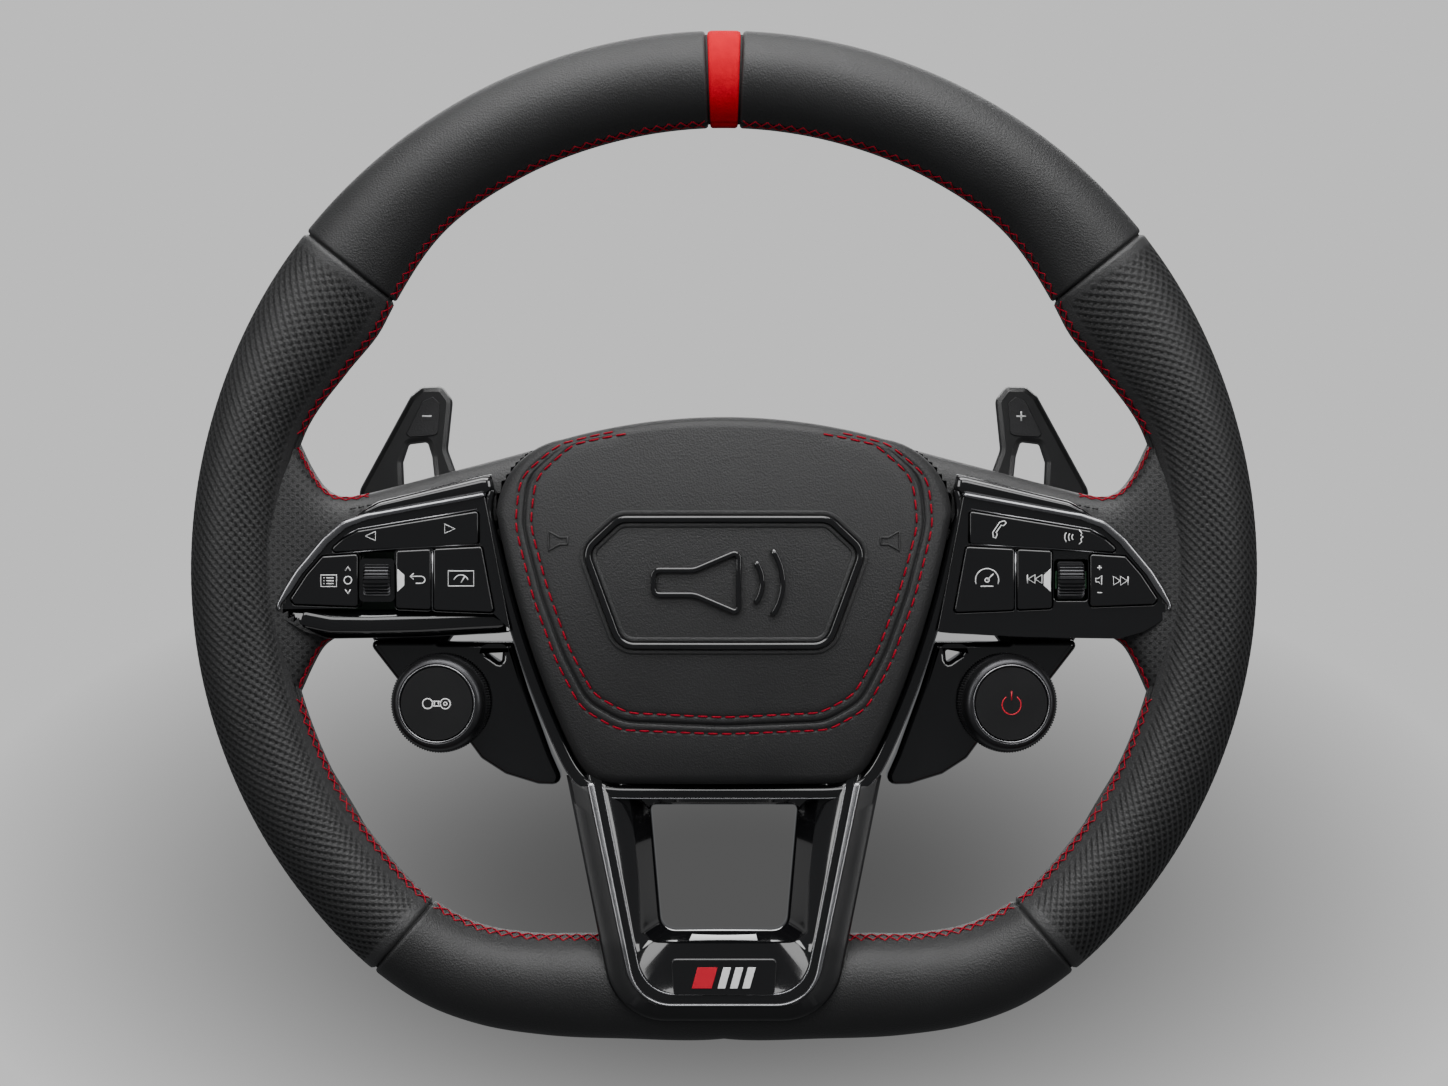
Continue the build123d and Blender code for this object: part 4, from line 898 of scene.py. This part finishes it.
PADDLE = [(60, 13), (76, 14.5), (95.2, 32.3), (98.2, 40.5), (96.4, 58.2), (100.2, 63.2), (107.4, 63.0), (111.4, 59.6),
          (129.6, 26.2), (129.5, 6), (125.2, -26.5), (112.2, -41.3), (104, -36), (92, -20), (76, -9.5), (60, -9.5)]
SLOT = [(112.0, 42.4), (105.4, 43.2), (103.8, 38), (102.6, 27), (113.6, 24), (114.1, 36)]
for name, side in SIDES.items():
    body = f"{name}_paddle"
    plate(f"paddle_blade_{name}", [rounded(flip(PADDLE, side), [0, 4, 5, 5, 4, 2.5, 2.5, 4, 6, 8, 6, 6, 6, 6, 4, 0], 4),
                                   rounded(flip(SLOT, side), 1.2, 4)], 47, 52, paddle_black, body, 2.0, 1,
          nodes=[f"paddle_{name}"], sharp=25)
    plate(f"paddle_inlay_{name}", [rounded(flip([(101.6, 46.2), (100.9, 57.0), (103.4, 59.4), (107.2, 57.6),
                                                 (112.9, 46.0), (111.6, 44.9), (103.4, 45.4)], side), 0.8, 3)],
          51.2, 52.5, matte, body, 0.3, 2)
    barrel = Bundle()
    t = circle(40)
    rows = [np.stack([side * 60 + r * np.cos(t), 49.5 + r * np.sin(t), np.full(40, z)], 1)
            for r, z in ((2.05, -13.8), (3.5, -13.8), (3.8, -13.5), (3.8, 13.5), (3.5, 13.8), (2.05, 13.8))]
    barrel.add(np.concatenate(rows), grid_faces(6, 40, wrap_rows=True, wrap_columns=True).tolist())
    barrel.build(f"paddle_barrel_{name}", paddle_black, body, 30)
    sign = [[(103.8, 52.4), (107.2, 52.4)]] + ([[(105.5, 54.1), (105.5, 50.7)]] if side > 0 else [])
    ink(f"paddle_mark_{name}", [flip(s, side) for s in sign], white_ink, body, lambda p: raised(p, 52.55), 0.3)

# -------- lower spoke

TRIM = [(-54.6, -72), (54.6, -72), (36.8, -156.0), (-36.8, -156.0)]
TRIM_WINDOW = [(-25.4, -83.6), (25.4, -83.6), (21.4, -126.3), (-21.4, -126.3)]
TRIM_CENTRE = np.array([0.0, -108.0])
around = np.radians(np.arange(0, 360, 1.0))


def trim_front(z):
    """The height of the trim's face."""
    return np.interp(z, [-160, -150, -130, -72], [98.5, 100.5, 98.0, 86.9])


def reach_of(outline):
    """How far an outline is from the lower spoke's middle in every direction."""
    return reach_at(around, dense(outline, gap=0.5), TRIM_CENTRE)


def ringed(name, levels, look, nodes=()):
    """A piece made of rings about the lower spoke's middle: distances and the drop from the face, or "rear"."""
    rows = []
    for level, drop in levels:
        xz = TRIM_CENTRE + np.stack([np.cos(around), np.sin(around)], 1) * level[:, None]
        at_rear = isinstance(drop, str)
        h = np.interp(xz[:, 1], [-160, -128, -72], REAR) if at_rear else trim_front(xz[:, 1]) - drop
        rows.append(raised(xz, h))
    faces = grid_faces(len(rows), len(around), wrap_columns=True)
    return finish_mesh(name, np.concatenate(rows), faces, look, "wheel", 30, nodes)


REAR = (97.0, 78.2, 65.4)
r_outer = reach_of(rounded(TRIM, [0, 0, 21, 21], 12))
LINE = rounded([(47.6, -68), (30.0, -150.2), (-30.0, -150.2), (-47.6, -68)], [0, 15, 15, 0], 12)
THIN = rounded([(43.6, -68), (27.4, -146.6), (-27.4, -146.6), (-43.6, -68)], [0, 13, 13, 0], 12)
FUNNEL = rounded([(33.4, -74), (27, -129.5), (-27, -129.5), (-33.4, -74)], [3, 5, 5, 3], 6)
r_line, r_thin = reach_of(LINE), reach_of(THIN)
floor = np.clip((-np.sin(around) - 0.55) / 0.25, 0, 1)
r_funnel, r_window = reach_of(FUNNEL), reach_of(rounded(TRIM_WINDOW, [1.5, 1.5, 5, 5], 6))
ringed("lower_spoke_band", [(r_outer - 1, "rear"), (r_outer, 4), (r_outer, 2.4), (r_outer - 0.7, 1.2),
                            (r_outer - 1.8, 0.6), (r_line + 0.8, 0.1), (r_line, 0.3), (r_line, 2.5)], soft_gloss)
ringed("lower_spoke_frame", [(r_line, 2.5), (r_line, 0.4), (r_line - 1, 0.1), (r_thin, 0.0), (r_thin - 0.8, 0.3),
                             (r_funnel, 4.5 - 3.9 * floor), (r_funnel - 0.8, 5.4 - 3.6 * floor),
                             (r_window + 1.2, 10.2), (r_window + 0.3, 11.0), (r_window, 11.8), (r_window, "rear")],
       gloss, ["lower_trim"])
path = dense(LINE, closed=False, gap=1.2)
path = path[path[:, 1] < -74]
wide = np.interp(path[:, 1], [-152, -147, -139, -100, -77], [0.7, 0.9, 1.7, 2.3, 2.6])
section = np.stack([pillow(w, 1.2, 12, 2.5) for w in wide])
path = raised(path, trim_front(path[:, 1]) + 0.1)
carried("lower_spoke_line", path, section, satin, nodes=["lower_trim_inlay"])
thin = dense(THIN, closed=False, gap=1.2)
thin = thin[(thin[:, 1] < -76) & (np.abs(thin[:, 0]) > 7)]
hairline = Bundle()
for side in SIDES.values():
    half = thin[thin[:, 0] * side > 0]
    hairline.tube(raised(half, trim_front(half[:, 1]) + 0.05), 0.26, flat=0.6)
hairline.build("lower_spoke_hairline", satin, "wheel")

badge = rounded([(-18, -134.4), (18, -134.4), (17.2, -146.7), (-17.2, -146.7)], 1.5, 4)
plate("badge_base", [badge], 98.4, 100.9, gloss, "wheel", 0.35, 3, nodes=["badge_plate"])
for bar, look, x, wide in (("badge_red_0", red_ink, -11, 6.8), ("badge_bars_0", white_ink, -2.2, 2.6),
                           ("badge_bars_1", white_ink, 2.0, 2.6), ("badge_bars_2", white_ink, 6.2, 2.6)):
    slanted = [(x, -144.4), (x + wide, -144.4), (x + wide + 2, -137.2), (x + 2, -137.2)]
    plate(bar, [slanted], 100.6, 101.2, look, "wheel", 0.12, 1)

# -------- stage, light and camera

ROOM = 3.2
# painted shadow on the backdrop: where the dark pool under the wheel sits, how wide and high it is and how it fades
SHADOW_CENTRE, SHADOW_WIDE, SHADOW_HIGH = -0.446, 0.915, 0.4315
SHADOW_INNER, SHADOW_OUTER, SHADOW_FALL = 0.15, 1.1, 1.9
EYE_DISTANCE, EYE_HEIGHT, RIM_FRONT = 1.181, 0.0074, 0.085


def paper(name, tone, shade):
    """A pale wall that glows by itself, with a painted soft dark shadow behind the lower half of the wheel."""
    m = bpy.data.materials.new(name)
    m.use_nodes = True
    nodes, links = m.node_tree.nodes, m.node_tree.links
    nodes.remove(nodes["Principled BSDF"])
    glow, where, far, curve = (new_node(m, kind) for kind in ("Emission", "TexCoord", "VectorMath", "Math"))
    placed = new_node(m, "Mapping", Location=(0, 0, -SHADOW_CENTRE / SHADOW_HIGH), Scale=(1 / SHADOW_WIDE, 0, 1 / SHADOW_HIGH))
    level = new_node(m, "MapRange", From_Min=SHADOW_INNER, From_Max=SHADOW_OUTER)
    mix = new_node(m, "MixRGB", Color1=(shade,) * 3 + (1,), Color2=(tone,) * 3 + (1,))
    far.operation, curve.operation = "LENGTH", "POWER"
    curve.inputs[1].default_value = SHADOW_FALL
    links.new(where.outputs["Object"], placed.inputs["Vector"])
    links.new(placed.outputs["Vector"], far.inputs[0])
    links.new(far.outputs["Value"], level.inputs["Value"])
    links.new(level.outputs["Result"], curve.inputs[0])
    links.new(curve.outputs["Value"], mix.inputs["Fac"])
    links.new(mix.outputs["Color"], glow.inputs["Color"])
    links.new(glow.outputs["Emission"], nodes["Material Output"].inputs["Surface"])
    return m


turns = circle(96)
wall = [(0.01, -1.9), (ROOM - 0.8, -1.9), (ROOM - 0.4, -1.8), (ROOM - 0.1, -1.5), (ROOM, -1.1), (ROOM, 2.6),
        (0.01, 3.4)]
room = [(r * math.cos(t), r * math.sin(t), z) for r, z in wall for t in turns]
data = bpy.data.meshes.new("backdrop")
data.from_pydata(room, [], grid_faces(len(wall), len(turns), wrap_columns=True).tolist())
# the wall glows an even 0.745, falling to 0.096 in the painted shadow under the wheel
data.materials.append(paper("backdrop_paper", 0.745, 0.096))
data.polygons.foreach_set("use_smooth", [True] * len(data.polygons))
backdrop = linked("backdrop", data)
for kind in ("diffuse", "glossy", "transmission", "shadow"):
    setattr(backdrop, f"visible_{kind}", False)

world = bpy.data.worlds.new("studio")
bpy.context.scene.world = world
world.use_nodes = True
world.node_tree.nodes["Background"].inputs["Color"].default_value = (0.95, 0.97, 1.0, 1)
world.node_tree.nodes["Background"].inputs["Strength"].default_value = 0.15


def area_light(name, at, size, power, target=(0, -0.08, 0)):
    """A soft rectangular light aimed at the wheel."""
    light = bpy.data.lights.new(name, "AREA")
    light.shape, light.size, light.size_y, light.energy = "RECTANGLE", size[0], size[1], power
    obj = linked(name, light)
    obj.location = at
    obj.rotation_euler = (Vector(target) - Vector(at)).to_track_quat("-Z", "Y").to_euler()


area_light("key", (0.0, -0.62, 1.15), (1.5, 0.7), 23)
area_light("front_left", (-1.2, -1.1, 0.45), (0.5, 1.0), 7)
area_light("front_right", (1.2, -1.1, 0.45), (0.5, 1.0), 7)
area_light("fill", (0.0, -1.6, 0.95), (1.4, 0.6), 10)
area_light("top", (0.0, 0.25, 1.5), (1.6, 0.5), 12)
area_light("back", (0.0, 1.5, 0.9), (1.6, 0.8), 14)

camera_data = bpy.data.cameras.new("camera")
camera_data.lens, camera_data.sensor_width = 85, 36
camera = linked("camera", camera_data)
camera.location = (0, -RIM_FRONT - EYE_DISTANCE, EYE_HEIGHT)
camera.rotation_euler = (math.radians(90), 0, 0)
bpy.context.scene.camera = camera
